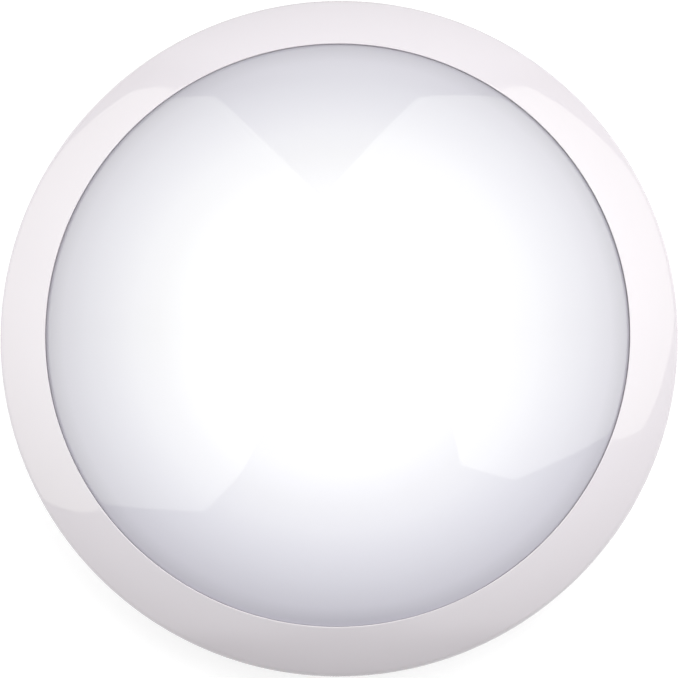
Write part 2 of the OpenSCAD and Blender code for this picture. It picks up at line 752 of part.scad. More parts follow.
module driver_case() {
    size = [driver_l, driver_w, driver_h - driver_base];
    low = [driver_at[0], driver_at[1], tray_top];
    color("white") difference() {
        union() {
            round_block(size, low, 2);
            for (x = [-1, 1])
                block([9, 8, ear_t], [low[0] + x * driver_screw_x, low[1] - driver_w / 2 - 3, tray_top]);
        }
        block([driver_l - 2 * case_wall, driver_w - 2 * case_wall, driver_h],
            [low[0], low[1], tray_top + case_wall]);
        for (x = [-1, 1]) {
            translate([low[0] + x * driver_screw_x, low[1] - driver_w / 2 - 3, tray_top - 1])
                cylinder(h = 5, d = 3.3);
            for (y = lead_rows)
                translate([low[0] + x * driver_l / 2, low[1] + y, lead_z]) rotate([0, 90, 0])
                    cylinder(h = 8, d = lead_d + 0.6, center = true);
        }
    }
}

module driver_lid() {
    z = tray_top + driver_h - driver_base;
    color("white") difference() {
        union() {
            round_block([driver_l, driver_w, driver_base], [driver_at[0], driver_at[1], z], 2);
        }
        block([driver_l - 2 * case_wall, driver_w - 2 * case_wall, driver_base],
            [driver_at[0], driver_at[1], z - case_wall]);
        for (i = [-5:5])
            block([2.4, driver_w - 14, 0.8], [driver_at[0] + i * 6, driver_at[1], z + driver_base - 0.5]);
    }
}

module driver_board() {
    color("darkgreen")
        block([driver_l - 2 * case_wall - 1, driver_w - 2 * case_wall - 1, pcb_t],
            [driver_at[0], driver_at[1], tray_top + case_wall]);
}

module driver_transformer() {
    z = tray_top + case_wall + pcb_t;
    color("goldenrod") union() {
        block([18, 16, 12], [driver_at[0] + 4, driver_at[1], z]);
        block([14, 20, 9], [driver_at[0] + 4, driver_at[1], z]);
    }
}

module driver_capacitors() {
    z = tray_top + case_wall + pcb_t;
    color("black") for (x = cap_x)
        translate([driver_at[0] + x, driver_at[1], z]) union() {
            cylinder(h = cap_h, d = cap_d);
            translate([0, 0, cap_h - eps]) cylinder(h = 0.6, d1 = cap_d, d2 = cap_d - 1);
        }
}

module driver_screws() {
    color("silver") for (x = [-1, 1])
        translate([driver_at[0] + x * driver_screw_x, driver_at[1] - driver_w / 2 - 3, tray_top + ear_t])
            small_screw(small_len);
}

module sensor_case() {
    color("white") difference() {
        union() {
            round_block([sensor_l, sensor_w, sensor_split - tray_top], [sensor_at[0], sensor_at[1], tray_top], 2);
            for (x = [-1, 1])
                block([8, 8, ear_t], [sensor_at[0] + x * (sensor_l / 2 + 3), sensor_screw_y, tray_top]);
        }
        block([sensor_l - 2 * case_wall, sensor_w - 2 * case_wall, sensor_h],
            [sensor_at[0], sensor_at[1], tray_top + case_wall]);
        for (x = [-1, 1]) {
            translate([sensor_at[0] + x * (sensor_l / 2 + 3.2), sensor_screw_y, tray_top - 1])
                cylinder(h = 5, d = 3.3);
            for (y = x < 0 ? sensor_in : sensor_out)
                translate([sensor_at[0] + x * sensor_l / 2, sensor_at[1] + y, sensor_lead_z])
                    rotate([0, 90, 0]) cylinder(h = 8, d = lead_d + 0.6, center = true);
        }
    }
}

module sensor_cover() {
    h = sensor_top - sensor_split;
    color("white") difference() {
        union() {
            round_block([sensor_l, sensor_w, h - 1], [sensor_at[0], sensor_at[1], sensor_split], 2);
            round_block([sensor_l - 2, sensor_w - 2, 1 + eps],
                [sensor_at[0], sensor_at[1], sensor_top - 1 - eps], 1.5);
            for (x = dial_x) translate([x, dial_y, sensor_top - eps])
                ring_cut(dial_d / 2 + 0.4, dial_d / 2 + 1.4, 0.8);
        }
        block([sensor_l - 2 * case_wall, sensor_w - 2 * case_wall, h],
            [sensor_at[0], sensor_at[1], sensor_split - case_wall]);
        for (x = dial_x) translate([x, dial_y, sensor_split]) cylinder(h = h + 3, d = dial_d + 0.8);
        translate([cell_x, window_y, sensor_split]) cylinder(h = h + 3, d = 6.4);
        translate([lamp_x, window_y, sensor_split]) cylinder(h = h + 3, d = 3.4);
        for (x = dial_x, k = [-3:3])
            translate([x, dial_y, sensor_top - 0.3]) rotate([0, 0, 90 + k * 45])
                translate([dial_d / 2 + 1.9, -0.25, 0]) cube([1.3, 0.5, 1]);
    }
}

module sensor_board() {
    color("darkgreen") union() {
        block([sensor_l - 2 * case_wall - 1, sensor_w - 2 * case_wall - 1, pcb_t],
            [sensor_at[0], sensor_at[1], sensor_pcb_z]);
        for (x = [-22, 22], y = [-14, 14])
            translate([sensor_at[0] + x, sensor_at[1] + y, tray_top + case_wall])
                cylinder(h = sensor_pcb_z - tray_top - case_wall + eps, d = 3.5);
    }
}

module sensor_antenna() {
    z = sensor_top - case_wall - 3.2;
    color("peru") union() {
        block([24, 12, 1], [sensor_at[0] - 1, window_y, z]);
        block([9, 7, 0.4], [sensor_at[0] - 6, window_y, z + 1 - eps]);
        block([7, 7, 0.4], [sensor_at[0] + 6, window_y, z + 1 - eps]);
        for (x = [-9, 7]) translate([sensor_at[0] + x, window_y, control_z])
            cylinder(h = z - control_z + eps, d = 1);
    }
}

module sensor_relay() {
    color("royalblue") block(relay_size, [sensor_at[0] + sensor_end - 8, relay_y, control_z]);
}

module sensor_controls() {
    color("dodgerblue") for (x = dial_x) difference() {
        block([control_w, control_w, control_h], [x, dial_y, control_z]);
        translate([x, dial_y, control_z + 1]) cylinder(h = control_h, d = dial_shaft + 0.1);
    }
}

// One setting dial with its shaft, a slot for a screwdriver and a pointer notch
module dial(x) {
    low = sensor_top - case_wall - 1.2;
    high = sensor_top + dial_proud;
    translate([x, dial_y, 0]) difference() {
        union() {
            translate([0, 0, low]) cylinder(h = high - low - 0.5, d = dial_d);
            translate([0, 0, high - 0.5 - eps]) cylinder(h = 0.5, d1 = dial_d, d2 = dial_d - 1);
            translate([0, 0, control_z + 1.2]) cylinder(h = low - control_z - 1.2 + eps, d = dial_shaft);
        }
        translate([-dial_d * 0.32, -0.6, high - 1.4]) cube([dial_d * 0.64, 1.2, 2]);
        translate([-0.5, dial_d / 2 - 1.4, high - 1]) cube([1, 2, 2]);
    }
}

module range_dial() {
    color("lightblue") dial(dial_x[0]);
}

module time_dial() {
    color("lightblue") dial(dial_x[1]);
}

module lux_dial() {
    color("lightblue") dial(dial_x[2]);
}

module light_cell() {
    color("lightcyan") translate([cell_x, window_y, 0]) union() {
        translate([0, 0, control_z]) cylinder(h = sensor_top - control_z, d = 5.8);
        translate([0, 0, sensor_top - eps]) cylinder(h = 0.6, d1 = 5.8, d2 = 4.4);
    }
}

module status_lamp() {
    color("red") translate([lamp_x, window_y, 0]) union() {
        translate([0, 0, control_z]) cylinder(h = sensor_top - control_z, d = 3);
        translate([0, 0, sensor_top]) sphere(d = 2.96, $fn = 48);
    }
}

module sensor_screws() {
    color("silver") for (x = [-1, 1])
        translate([sensor_at[0] + x * (sensor_l / 2 + 3.2), sensor_screw_y, tray_top + ear_t])
            small_screw(small_len);
}

module terminal_block() {
    color("white") difference() {
        union() {
            block([term_l, term_w, term_h], [term_at[0], term_at[1], tray_top]);
            for (x = [-1, 1])
                block([8, 9, ear_t], [term_at[0] + x * (term_l / 2 + 3), term_at[1] - 4, tray_top]);
            for (x = pole_x)
                block([pole_pitch - 3, 2, 4], [x, term_at[1] + term_w / 2 - 1, term_top - eps]);
        }
        for (x = pole_x) {
            block([button_w + 2 * touch, button_l + 2 * touch, term_h], [x, button_y, clamp_floor]);
            for (y = [-1, 1])
                block([port, 12, port], [x, term_at[1] + y * (term_w / 2 - 2), port_z - port / 2]);
        }
        for (i = [1:pole_n - 1])
            block([0.8, term_w + 2, 1.6],
                [(pole_x[i - 1] + pole_x[i]) / 2, term_at[1], term_top - 0.8]);
        for (x = [-1, 1])
            translate([term_at[0] + x * (term_l / 2 + 3.2), term_at[1] - 4, tray_top - 1])
                cylinder(h = 5, d = 3.3);
    }
}

module terminal_clamps() {
    color("silver") for (x = pole_x) union() {
        block([button_w - 0.4, button_l - 0.4, 0.8], [x, button_y, clamp_floor]);
        block([button_w - 0.4, 0.8, 6], [x, button_y - button_l / 2 + 0.8, clamp_floor]);
        block([button_w - 0.4, 0.8, 2], [x, button_y + button_l / 2 - 0.8, clamp_floor]);
    }
}

// One release button that slides down into the terminal block
module button(x) {
    union() {
        block([button_w, button_l, button_depth + button_proud - 0.6],
            [x, button_y, term_top - button_depth]);
        block([button_w - 1, button_l - 1, 0.6 + eps], [x, button_y, term_top + button_proud - 0.6 - eps]);
    }
}

module live_button() {
    color("saddlebrown") button(pole_x[0]);
}

module neutral_button() {
    color("royalblue") button(pole_x[1]);
}

module switched_button() {
    color("gray") button(pole_x[2]);
}

module earth_button() {
    color("green") button(pole_x[3]);
}

module terminal_screws() {
    color("silver") for (x = [-1, 1])
        translate([term_at[0] + x * (term_l / 2 + 3.2), term_at[1] - 4, tray_top + ear_t])
            small_screw(small_len);
}

module cable_clamp() {
    color("white") difference() {
        union() {
            block([clamp_l, clamp_w, 3], [clamp_at[0], clamp_at[1], tray_top + cable_d * 0.6]);
            for (x = [-1, 1])
                block([7, clamp_w, cable_d * 0.6 + eps],
                    [clamp_at[0] + x * (clamp_l / 2 - 3.5), clamp_at[1], tray_top]);
        }
        for (x = [-1, 1])
            translate([clamp_at[0] + x * (clamp_l / 2 - 3.5), clamp_at[1], tray_top - 1])
                cylinder(h = cable_d + 6, d = 3.3);
    }
}

module clamp_screws() {
    color("silver") for (x = [-1, 1])
        translate([clamp_at[0] + x * (clamp_l / 2 - 3.5), clamp_at[1], tray_top + cable_d * 0.6 + 3])
            small_screw(cable_d * 0.6 + small_len + 1);
}

module earth_screw() {
    color("gold") translate([earth_at[0], earth_at[1], tray_top + 0.8]) pan_screw(3.2, 6, 7, 2.4);
}

module earth_tag() {
    color("silver") difference() {
        union() {
            translate([earth_at[0], earth_at[1], tray_top]) cylinder(h = 0.8, d = 9);
            block([9, 5, 0.8], [earth_at[0] - 6.5, earth_at[1], tray_top]);
            block([5, 4.4, 3.2], [earth_at[0] - 9, earth_at[1], tray_top]);
        }
        translate([earth_at[0], earth_at[1], tray_top - 1]) cylinder(h = 3, d = 3.6);
        translate([earth_at[0] - 9, earth_at[1], earth_z])
            rotate([0, 90, 0]) cylinder(h = 8, d = lead_d + touch, center = true);
    }
}

// A lead from a terminal port to a hole in the sensor's side
module sensor_lead(pole, gap_y, side_x, row) {
    hole_y = sensor_at[1] + row;
    wall = sensor_at[0] + sign(side_x) * sensor_l / 2;
    lead([
        [pole_x[pole], term_at[1] + term_w / 2 - 4, port_z],
        [pole_x[pole], term_at[1] + term_w / 2 + 1, port_z],
        [pole_x[pole] + sign(side_x) * 3, gap_y - 1, port_z - 1],
        [pole_x[pole] + sign(side_x) * 8, gap_y, sensor_lead_z + 1],
        [side_x - sign(side_x) * 5, gap_y, sensor_lead_z],
        [side_x, gap_y + 5, sensor_lead_z],
        [side_x - sign(side_x) * 0.4, hole_y - 3, sensor_lead_z],
        [wall + sign(side_x) * 1, hole_y, sensor_lead_z],
        [wall - sign(side_x) * 3, hole_y, sensor_lead_z]], lead_d);
}

module live_lead() {
    color("saddlebrown") sensor_lead(0, term_back + lane_step, -sensor_end - lane_far, sensor_in[1]);
}

module neutral_lead() {
    color("royalblue") sensor_lead(1, term_back + 2 * lane_step, -sensor_end - lane_near, sensor_in[0]);
}

module switched_lead() {
    color("gray") sensor_lead(2, term_back + 2 * lane_step, sensor_end + lane_far, sensor_out[0]);
}

// Heights along a lead that starts at z0 and ends at z1
function raise(p, z0, z1) =
    [for (i = [0:len(p) - 1])
        let (s = max(0, min(1, (i - 1) / (len(p) - 3))))
        [p[i][0], p[i][1], z0 + (z1 - z0) * s * s * (3 - 2 * s)]];
// A point of the LED connector's side, from its own directions along and across
function at_connector(along, across, z) =
    [(board_in + along) * cos(connector_angle) - across * sin(connector_angle),
        (board_in + along) * sin(connector_angle) + across * cos(connector_angle), z];

module driver_live_lead() {
    color("saddlebrown") lead(raise(driver_path[0], sensor_lead_z, lead_z), lead_d);
}

module driver_neutral_lead() {
    color("royalblue") lead(raise(driver_path[1], sensor_lead_z, lead_z), lead_d);
}

module earth_lead() {
    color("green") lead([
        [pole_x[3], term_at[1] + term_w / 2 - 4, port_z], [pole_x[3], term_at[1] + term_w / 2 + 0.5, port_z],
        [pole_x[3] + 2, term_at[1] + term_w / 2 + 2.6, port_z - 1],
        [pole_x[3] + 7, earth_at[1] - 1, port_z - 3.4], [earth_at[0] - 13, earth_at[1], earth_z + 0.2],
        [earth_at[0] - 10, earth_at[1], earth_z], [earth_at[0] - 7, earth_at[1], earth_z]], lead_d);
}

module led_lead(row, across) {
    z = board_top + 1.2 + (led_lead_d + 0.3) / 2;
    lead(concat(
        raise(led_path[row], lead_z, z + 1.4),
        [at_connector(-5, across, z), at_connector(1, across, z), at_connector(5, across, z)]), led_lead_d);
}

module led_positive_lead() {
    color("red") led_lead(0, 2);
}

module led_negative_lead() {
    color("black") led_lead(1, -2);
}

// A clip that holds a lead of diameter d at the point p, along the angle a
module clip(p, a, d) {
    translate([p[0], p[1], 0]) rotate([0, 0, a]) difference() {
        union() {
            block([4, d + 3.2, p[2] + d * 0.45 - tray_top], [0, 0, tray_top]);
            block([7, d + 7, 1], [0, 0, tray_top]);
        }
        translate([0, 0, p[2]]) rotate([0, 90, 0]) cylinder(h = 10, d = d + 0.8, center = true);
        block([10, d * 0.75, 10], [0, 0, p[2]]);
    }
}

module lead_clips() {
    a = raise(driver_path[0], sensor_lead_z, lead_z);
    b = raise(driver_path[1], sensor_lead_z, lead_z);
    color("white") {
        clip(a[2], heading(a, 2), lead_d);
        clip(b[3], heading(b, 3), lead_d);
    }
}

// The direction of a path at its point i, as an angle
function heading(p, i) = atan2(p[i + 1][1] - p[i - 1][1], p[i + 1][0] - p[i - 1][0]);

base_pan();
wall_gasket();
rim_seal();
cable_grommet();
hole_washers();
entry_plugs();
entry_seals();
catch_springs();
catch_screws();
gear_tray();
tray_screws();
tray_bush();
led_board();
led_packages();
led_phosphors();
board_screws();
led_connector();
driver_case();
driver_lid();
driver_board();
driver_transformer();
driver_capacitors();
driver_screws();
sensor_case();
sensor_cover();
sensor_board();
sensor_antenna();
sensor_relay();
sensor_controls();
range_dial();
time_dial();
lux_dial();
light_cell();
status_lamp();
sensor_screws();
terminal_block();
terminal_clamps();
live_button();
neutral_button();
switched_button();
earth_button();
terminal_screws();
cable_clamp();
clamp_screws();
earth_screw();
earth_tag();
live_lead();
neutral_lead();
switched_lead();
driver_live_lead();
driver_neutral_lead();
earth_lead();
led_positive_lead();
led_negative_lead();
lead_clips();
diffuser();
trim_ring();
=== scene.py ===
import math

import bpy
from mathutils import Matrix, Vector


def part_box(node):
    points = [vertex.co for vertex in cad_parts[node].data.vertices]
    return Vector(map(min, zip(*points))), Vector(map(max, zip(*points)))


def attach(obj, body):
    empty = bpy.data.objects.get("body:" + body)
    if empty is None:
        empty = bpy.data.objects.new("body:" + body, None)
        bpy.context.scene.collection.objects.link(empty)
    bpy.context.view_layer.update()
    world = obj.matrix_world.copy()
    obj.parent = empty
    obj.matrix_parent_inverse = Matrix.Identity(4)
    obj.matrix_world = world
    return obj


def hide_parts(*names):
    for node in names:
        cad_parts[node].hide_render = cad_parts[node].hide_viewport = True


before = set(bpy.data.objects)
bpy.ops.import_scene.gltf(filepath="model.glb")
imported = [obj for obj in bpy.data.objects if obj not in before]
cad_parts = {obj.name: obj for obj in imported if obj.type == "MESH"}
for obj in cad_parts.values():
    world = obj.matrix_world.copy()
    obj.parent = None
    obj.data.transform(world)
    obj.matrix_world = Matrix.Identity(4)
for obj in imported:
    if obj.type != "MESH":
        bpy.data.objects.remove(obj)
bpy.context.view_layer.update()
print("frame loaded,", len(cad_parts), "CAD nodes")


# Camera

cameraPlace = {
    "eye": (0.0499, -0.11136, 1.38469),
    "target": (0.00123, -0.00205, 0.04),
    "lens": 147.94,
    "sensorWidth": 36.0,
}


def placeCamera(values):
    eye = Vector(values["eye"])
    forward = (Vector(values["target"]) - eye).normalized()
    right = forward.cross(Vector((0, 1, 0))).normalized()
    up = right.cross(forward)
    lens = bpy.data.cameras.new("photoCamera")
    lens.lens = values["lens"]
    lens.sensor_width = values["sensorWidth"]
    camera = bpy.data.objects.new("photoCamera", lens)
    turn = Matrix((right, up, -forward)).transposed().to_4x4()
    camera.matrix_world = Matrix.Translation(eye) @ turn
    bpy.context.scene.collection.objects.link(camera)
    bpy.context.scene.camera = camera


placeCamera(cameraPlace)
bpy.context.scene.view_settings.view_transform = "Standard"
print("camera placed")


# Node helpers


def addNode(tree, kind, inputs=None, **settings):
    made = tree.nodes.new("ShaderNode" + kind)
    for key, value in settings.items():
        setattr(made, key, value)
    for key, value in (inputs or {}).items():
        if isinstance(value, bpy.types.NodeSocket):
            tree.links.new(value, made.inputs[key])
        else:
            made.inputs[key].default_value = value
    return made


def maths(tree, operation, first, second=0.0):
    return addNode(tree, "Math", {0: first, 1: second}, operation=operation).outputs[0]


def mixTone(tree, factor, first, second, blend="MIX"):
    made = addNode(tree, "Mix", data_type="RGBA", blend_type=blend)
    for socket, value in ((0, factor), (6, first), (7, second)):
        if isinstance(value, bpy.types.NodeSocket):
            tree.links.new(value, made.inputs[socket])
        elif socket == 0:
            made.inputs[0].default_value = value
        else:
            made.inputs[socket].default_value = (*value, 1.0)
    return made.outputs[2]


def stepUp(tree, value, low, high, toLow=0.0, toHigh=1.0):
    made = addNode(tree, "MapRange", {"Value": value, "From Min": low, "From Max": high,
                                      "To Min": toLow, "To Max": toHigh})
    return made.outputs[0]


def startGroup(name, inputs, outputs):
    tree = bpy.data.node_groups.new(name, "ShaderNodeTree")
    for side, sockets in (("INPUT", inputs), ("OUTPUT", outputs)):
        for label, kind in sockets.items():
            tree.interface.new_socket(name=label, in_out=side, socket_type="NodeSocket" + kind)
    return tree, tree.nodes.new("NodeGroupInput"), tree.nodes.new("NodeGroupOutput")


def useGroup(tree, group, inputs):
    made = tree.nodes.new("ShaderNodeGroup")
    made.node_tree = group
    for key, value in inputs.items():
        if isinstance(value, bpy.types.NodeSocket):
            tree.links.new(value, made.inputs[key])
        elif isinstance(value, tuple) and made.inputs[key].type == "RGBA":
            made.inputs[key].default_value = (*value, 1.0)
        else:
            made.inputs[key].default_value = value
    return made


def addNoise(tree, place, scale, detail, roughness=0.5, distortion=0.0):
    return addNode(tree, "TexNoise", {"Vector": place, "Scale": scale, "Detail": detail,
                                      "Roughness": roughness, "Distortion": distortion}).outputs[0]


skinLook = {
    "grainDetail": 3.0,
    "grainRoughness": 0.6,
    "flowScale": 22.0,
    "flowDetail": 4.0,
    "flowDistortion": 0.8,
    "flowHeight": 0.4,
    "mottleTone": (0.5, 0.5, 0.5),
}


# Soft, uneven skin of a moulded plastic or rubber part
def makeMouldedSkin(values):
    tree, given, result = startGroup(
        "mouldedSkin",
        {"Place": "Vector", "Tone": "Color", "Roughness": "Float", "Uneven": "Float",
         "Grain Scale": "Float", "Mottle": "Float"},
        {"Tone": "Color", "Roughness": "Float", "Height": "Float"})
    place = given.outputs["Place"]
    tone = given.outputs["Tone"]
    grain = addNoise(tree, place, given.outputs["Grain Scale"], values["grainDetail"],
                     roughness=values["grainRoughness"])
    flow = addNoise(tree, place, values["flowScale"], values["flowDetail"],
                    distortion=values["flowDistortion"])
    shade = maths(tree, "MULTIPLY", maths(tree, "SUBTRACT", 1.0, flow), given.outputs["Mottle"])
    dark = mixTone(tree, 1.0, tone, values["mottleTone"], "MULTIPLY")
    tree.links.new(mixTone(tree, shade, tone, dark), result.inputs["Tone"])
    wave = maths(tree, "ADD", maths(tree, "SUBTRACT", grain, 0.5), maths(tree, "SUBTRACT", flow, 0.5))
    wave = maths(tree, "MULTIPLY", wave, given.outputs["Uneven"])
    tree.links.new(maths(tree, "ADD", given.outputs["Roughness"], wave), result.inputs["Roughness"])
    height = maths(tree, "ADD", grain, maths(tree, "MULTIPLY", flow, values["flowHeight"]))
    tree.links.new(height, result.inputs["Height"])
    return tree


metalLook = {
    "lineDetail": 5.0,
    "lineRoughness": 0.65,
    "lineShare": 0.6,
    "stainScale": 160.0,
    "stainDetail": 3.0,
    "stainShare": 0.5,
    "stainTone": (0.55, 0.56, 0.6),
    "stainBand": (0.4, 0.8),
    "mostStain": 0.55,
    "lineBand": (0.3, 0.7),
    "swing": (-0.08, 0.14),
}


# Fine lines left by rolling, drawing or turning, with a few darker stains
def makeWorkedMetal(values):
    tree, given, result = startGroup(
        "workedMetal",
        {"Place": "Vector", "Stretch": "Vector", "Tone": "Color", "Roughness": "Float"},
        {"Tone": "Color", "Roughness": "Float", "Height": "Float"})
    place = given.outputs["Place"]
    tone = given.outputs["Tone"]
    stretched = addNode(tree, "Mapping", {"Vector": place,
                                          "Scale": given.outputs["Stretch"]}).outputs[0]
    lines = addNoise(tree, stretched, 1.0, values["lineDetail"], roughness=values["lineRoughness"])
    stain = addNoise(tree, place, values["stainScale"], values["stainDetail"])
    dark = mixTone(tree, 1.0, tone, values["stainTone"], "MULTIPLY")
    amount = maths(tree, "ADD", maths(tree, "MULTIPLY", lines, values["lineShare"]),
                   maths(tree, "MULTIPLY", stain, values["stainShare"]))
    amount = stepUp(tree, amount, *values["stainBand"], 0.0, values["mostStain"])
    tree.links.new(mixTone(tree, amount, tone, dark), result.inputs["Tone"])
    swing = stepUp(tree, lines, *values["lineBand"], *values["swing"])
    tree.links.new(maths(tree, "ADD", given.outputs["Roughness"], swing), result.inputs["Roughness"])
    tree.links.new(lines, result.inputs["Height"])
    return tree


# Distance from the light's axis and the turn round it, from 0 to 1
def makePolarPlace():
    tree, given, result = startGroup("polarPlace", {"Place": "Vector"},
                                     {"Radius": "Float", "Turn": "Float"})
    parts = addNode(tree, "SeparateXYZ", {0: given.outputs["Place"]})
    flat = addNode(tree, "CombineXYZ", {0: parts.outputs[0], 1: parts.outputs[1]}).outputs[0]
    length = addNode(tree, "VectorMath", {0: flat}, operation="LENGTH").outputs["Value"]
    angle = maths(tree, "ARCTAN2", parts.outputs[1], parts.outputs[0])
    turn = maths(tree, "ADD", maths(tree, "DIVIDE", angle, math.tau), 0.5)
    tree.links.new(length, result.inputs["Radius"])
    tree.links.new(turn, result.inputs["Turn"])
    return tree


mouldedSkin = makeMouldedSkin(skinLook)
workedMetal = makeWorkedMetal(metalLook)
polarPlace = makePolarPlace()
print("node groups made")


# A record slot's name in this script's own spelling
def plainName(slotName):
    first, *rest = slotName.split("_")
    return first + "".join(word.capitalize() for word in rest)


# A material with its Principled shader and its Object coordinates
def startFinish(name, values):
    material = bpy.data.materials.new(name)
    material.use_nodes = True
    tree = material.node_tree
    shader = tree.nodes["Principled BSDF"]
    for key, value in values.items():
        shader.inputs[key].default_value = (*value, 1.0) if key.endswith("Color") else value
    place = addNode(tree, "TexCoord").outputs["Object"]
    return material, tree, shader, place


def addRelief(tree, shader, height, depth):
    bump = addNode(tree, "Bump", {"Strength": 1.0, "Distance": depth, "Height": height})
    tree.links.new(bump.outputs[0], shader.inputs["Normal"])


def useSkin(tree, place, tone, values):
    return useGroup(tree, mouldedSkin, {
        "Place": place, "Tone": tone, "Roughness": values["roughness"],
        "Uneven": values["uneven"], "Grain Scale": values["grain"],
        "Mottle": values["mottle"]}).outputs


# Puts a skin's tone, roughness and height on the shader
def wearSkin(tree, shader, skin, depth):
    tree.links.new(skin["Tone"], shader.inputs["Base Color"])
    tree.links.new(skin["Roughness"], shader.inputs["Roughness"])
    addRelief(tree, shader, skin["Height"], depth)


def makeMoulded(name, values):
    material, tree, shader, place = startFinish(name, {})
    tone = values["tone"]
    # Painted shade: a finish with a painted outer shade darkens with distance from the axis
    if "paintedOuterShade" in values:
        radius = useGroup(tree, polarPlace, {"Place": place}).outputs["Radius"]
        tone = mixTone(tree, stepUp(tree, radius, *values["fall"]), tone, values["paintedOuterShade"])
    wearSkin(tree, shader, useSkin(tree, place, tone, values), values["relief"])
    return material


def makeMetal(name, values):
    material, tree, shader, place = startFinish(name, {"Metallic": 1.0})
    skin = useGroup(tree, workedMetal, {
        "Place": place, "Stretch": values["stretch"], "Tone": values["tone"],
        "Roughness": values["roughness"]}).outputs
    wearSkin(tree, shader, skin, values["relief"])
    return material


# Stage

stageLook = {
    "floorSize": 8.0,
    "floorTone": (0.5, 0.5, 0.5),
    "floorGlow": 0.66,
    "floorBounce": 0.35,
    "farGlow": 0.95,
    "farBand": (0.5, 1.3),
    "ambient": 0.21,
    "ambientLean": (0.03, -0.06, 0.0),
    "endBand": (0.8, 0.86),
    "endGain": (-1.0, 0.8),
    "glossTone": (0.985, 1.0, 0.92),
}
# Each softbox is a flat panel, with its corners measured across and up from its centre
softboxes = {
    "leftBox": {"centre": (-0.4768, 0.0766, 0.4716), "aim": (-0.044, -0.037, 0.045),
                "light": 1.42, "lean": 0.0, "gloss": 2.66,
                "corners": ((-0.06, 0.63), (-0.67, 0.188), (-0.395, -0.352), (-0.228, -0.51),
                            (0.54, -0.49), (0.58, 0.05), (0.47, 0.38), (0.22, 0.612))},
    "rightBox": {"centre": (0.4908, 0.1865, 0.6078), "aim": (0.064, 0.048, 0.045),
                 "light": 2.13, "lean": -0.7, "gloss": 2.86,
                 "corners": ((0.228, 0.66), (-0.2, 0.675), (-0.6, 0.37), (-0.66, -0.03),
                             (-0.45, -0.41), (0.076, -0.572), (0.305, -0.49), (0.345, -0.36),
                             (0.77, 0.128))},
}


# 1 for what the camera, gloss and glass see
def seenMask(tree):
    path = addNode(tree, "LightPath")
    seen = maths(tree, "MAXIMUM", path.outputs["Is Camera Ray"], path.outputs["Is Glossy Ray"])
    return maths(tree, "MAXIMUM", seen, path.outputs["Is Transmission Ray"])


# A material with no shader yet, and the socket for it
def startBare(name):
    material = bpy.data.materials.new(name)
    material.use_nodes = True
    tree = material.node_tree
    tree.nodes.remove(tree.nodes["Principled BSDF"])
    return material, tree, tree.nodes["Material Output"].inputs["Surface"]


# The glow that is seen grows far from the light, so that the floor has no horizon
def makeFloor(values):
    bpy.ops.object.select_all(action="DESELECT")
    bpy.ops.mesh.primitive_plane_add(size=values["floorSize"], location=(0, 0, 0))
    floor = bpy.context.object
    floor.name = "studioFloor"
    material, tree, surface = startBare("studioFloor")
    cloth = addNode(tree, "BsdfDiffuse", {"Color": (*values["floorTone"], 1.0)})
    place = addNode(tree, "TexCoord").outputs["Object"]
    away = addNode(tree, "VectorMath", {0: place}, operation="LENGTH").outputs["Value"]
    shown = stepUp(tree, away, *values["farBand"], values["floorGlow"], values["farGlow"])
    level = stepUp(tree, seenMask(tree), 0.0, 1.0, values["floorBounce"], shown)
    glow = addNode(tree, "Emission", {"Color": (1.0, 1.0, 1.0, 1.0), "Strength": level})
    both = addNode(tree, "AddShader", {0: cloth.outputs[0], 1: glow.outputs[0]})
    tree.links.new(both.outputs[0], surface)
    floor.data.materials.append(material)


def makeSoftbox(name, values, glossTone):
    bpy.ops.object.select_all(action="DESELECT")
    corners = values["corners"]
    bpy.ops.mesh.primitive_circle_add(vertices=len(corners), fill_type="NGON")
    box = bpy.context.object
    box.name = name
    for vertex, corner in zip(box.data.vertices, corners):
        vertex.co = (*corner, 0)
    if box.data.polygons[0].normal.z < 0:
        box.data.flip_normals()
    centre = Vector(values["centre"])
    facing = (Vector(values["aim"]) - centre).normalized()
    across = Vector((0, 1, 0)).cross(facing).normalized()
    upward = facing.cross(across)
    turn = Matrix((across, upward, facing)).transposed().to_4x4()
    box.matrix_world = Matrix.Translation(centre) @ turn
    material, tree, surface = startBare(name)
    glossy = addNode(tree, "LightPath").outputs["Is Glossy Ray"]
    back = addNode(tree, "NewGeometry").outputs["Backfacing"]
    height = addNode(tree, "SeparateXYZ", {0: addNode(tree, "TexCoord").outputs["Object"]}).outputs[1]
    light = maths(tree, "MULTIPLY", height, values["light"] * values["lean"])
    light = maths(tree, "ADD", light, values["light"])
    light = maths(tree, "MULTIPLY", light, maths(tree, "SUBTRACT", 1.0, glossy))
    gloss = maths(tree, "MULTIPLY", glossy, values["gloss"])
    level = maths(tree, "ADD", light, gloss)
    level = maths(tree, "MULTIPLY", level, maths(tree, "SUBTRACT", 1.0, back))
    tone = mixTone(tree, glossy, (1.0, 1.0, 1.0), glossTone)
    glow = addNode(tree, "Emission", {"Color": tone, "Strength": level})
    tree.links.new(glow.outputs[0], surface)
    box.data.materials.append(material)
    box.visible_camera = False
    box.visible_shadow = False


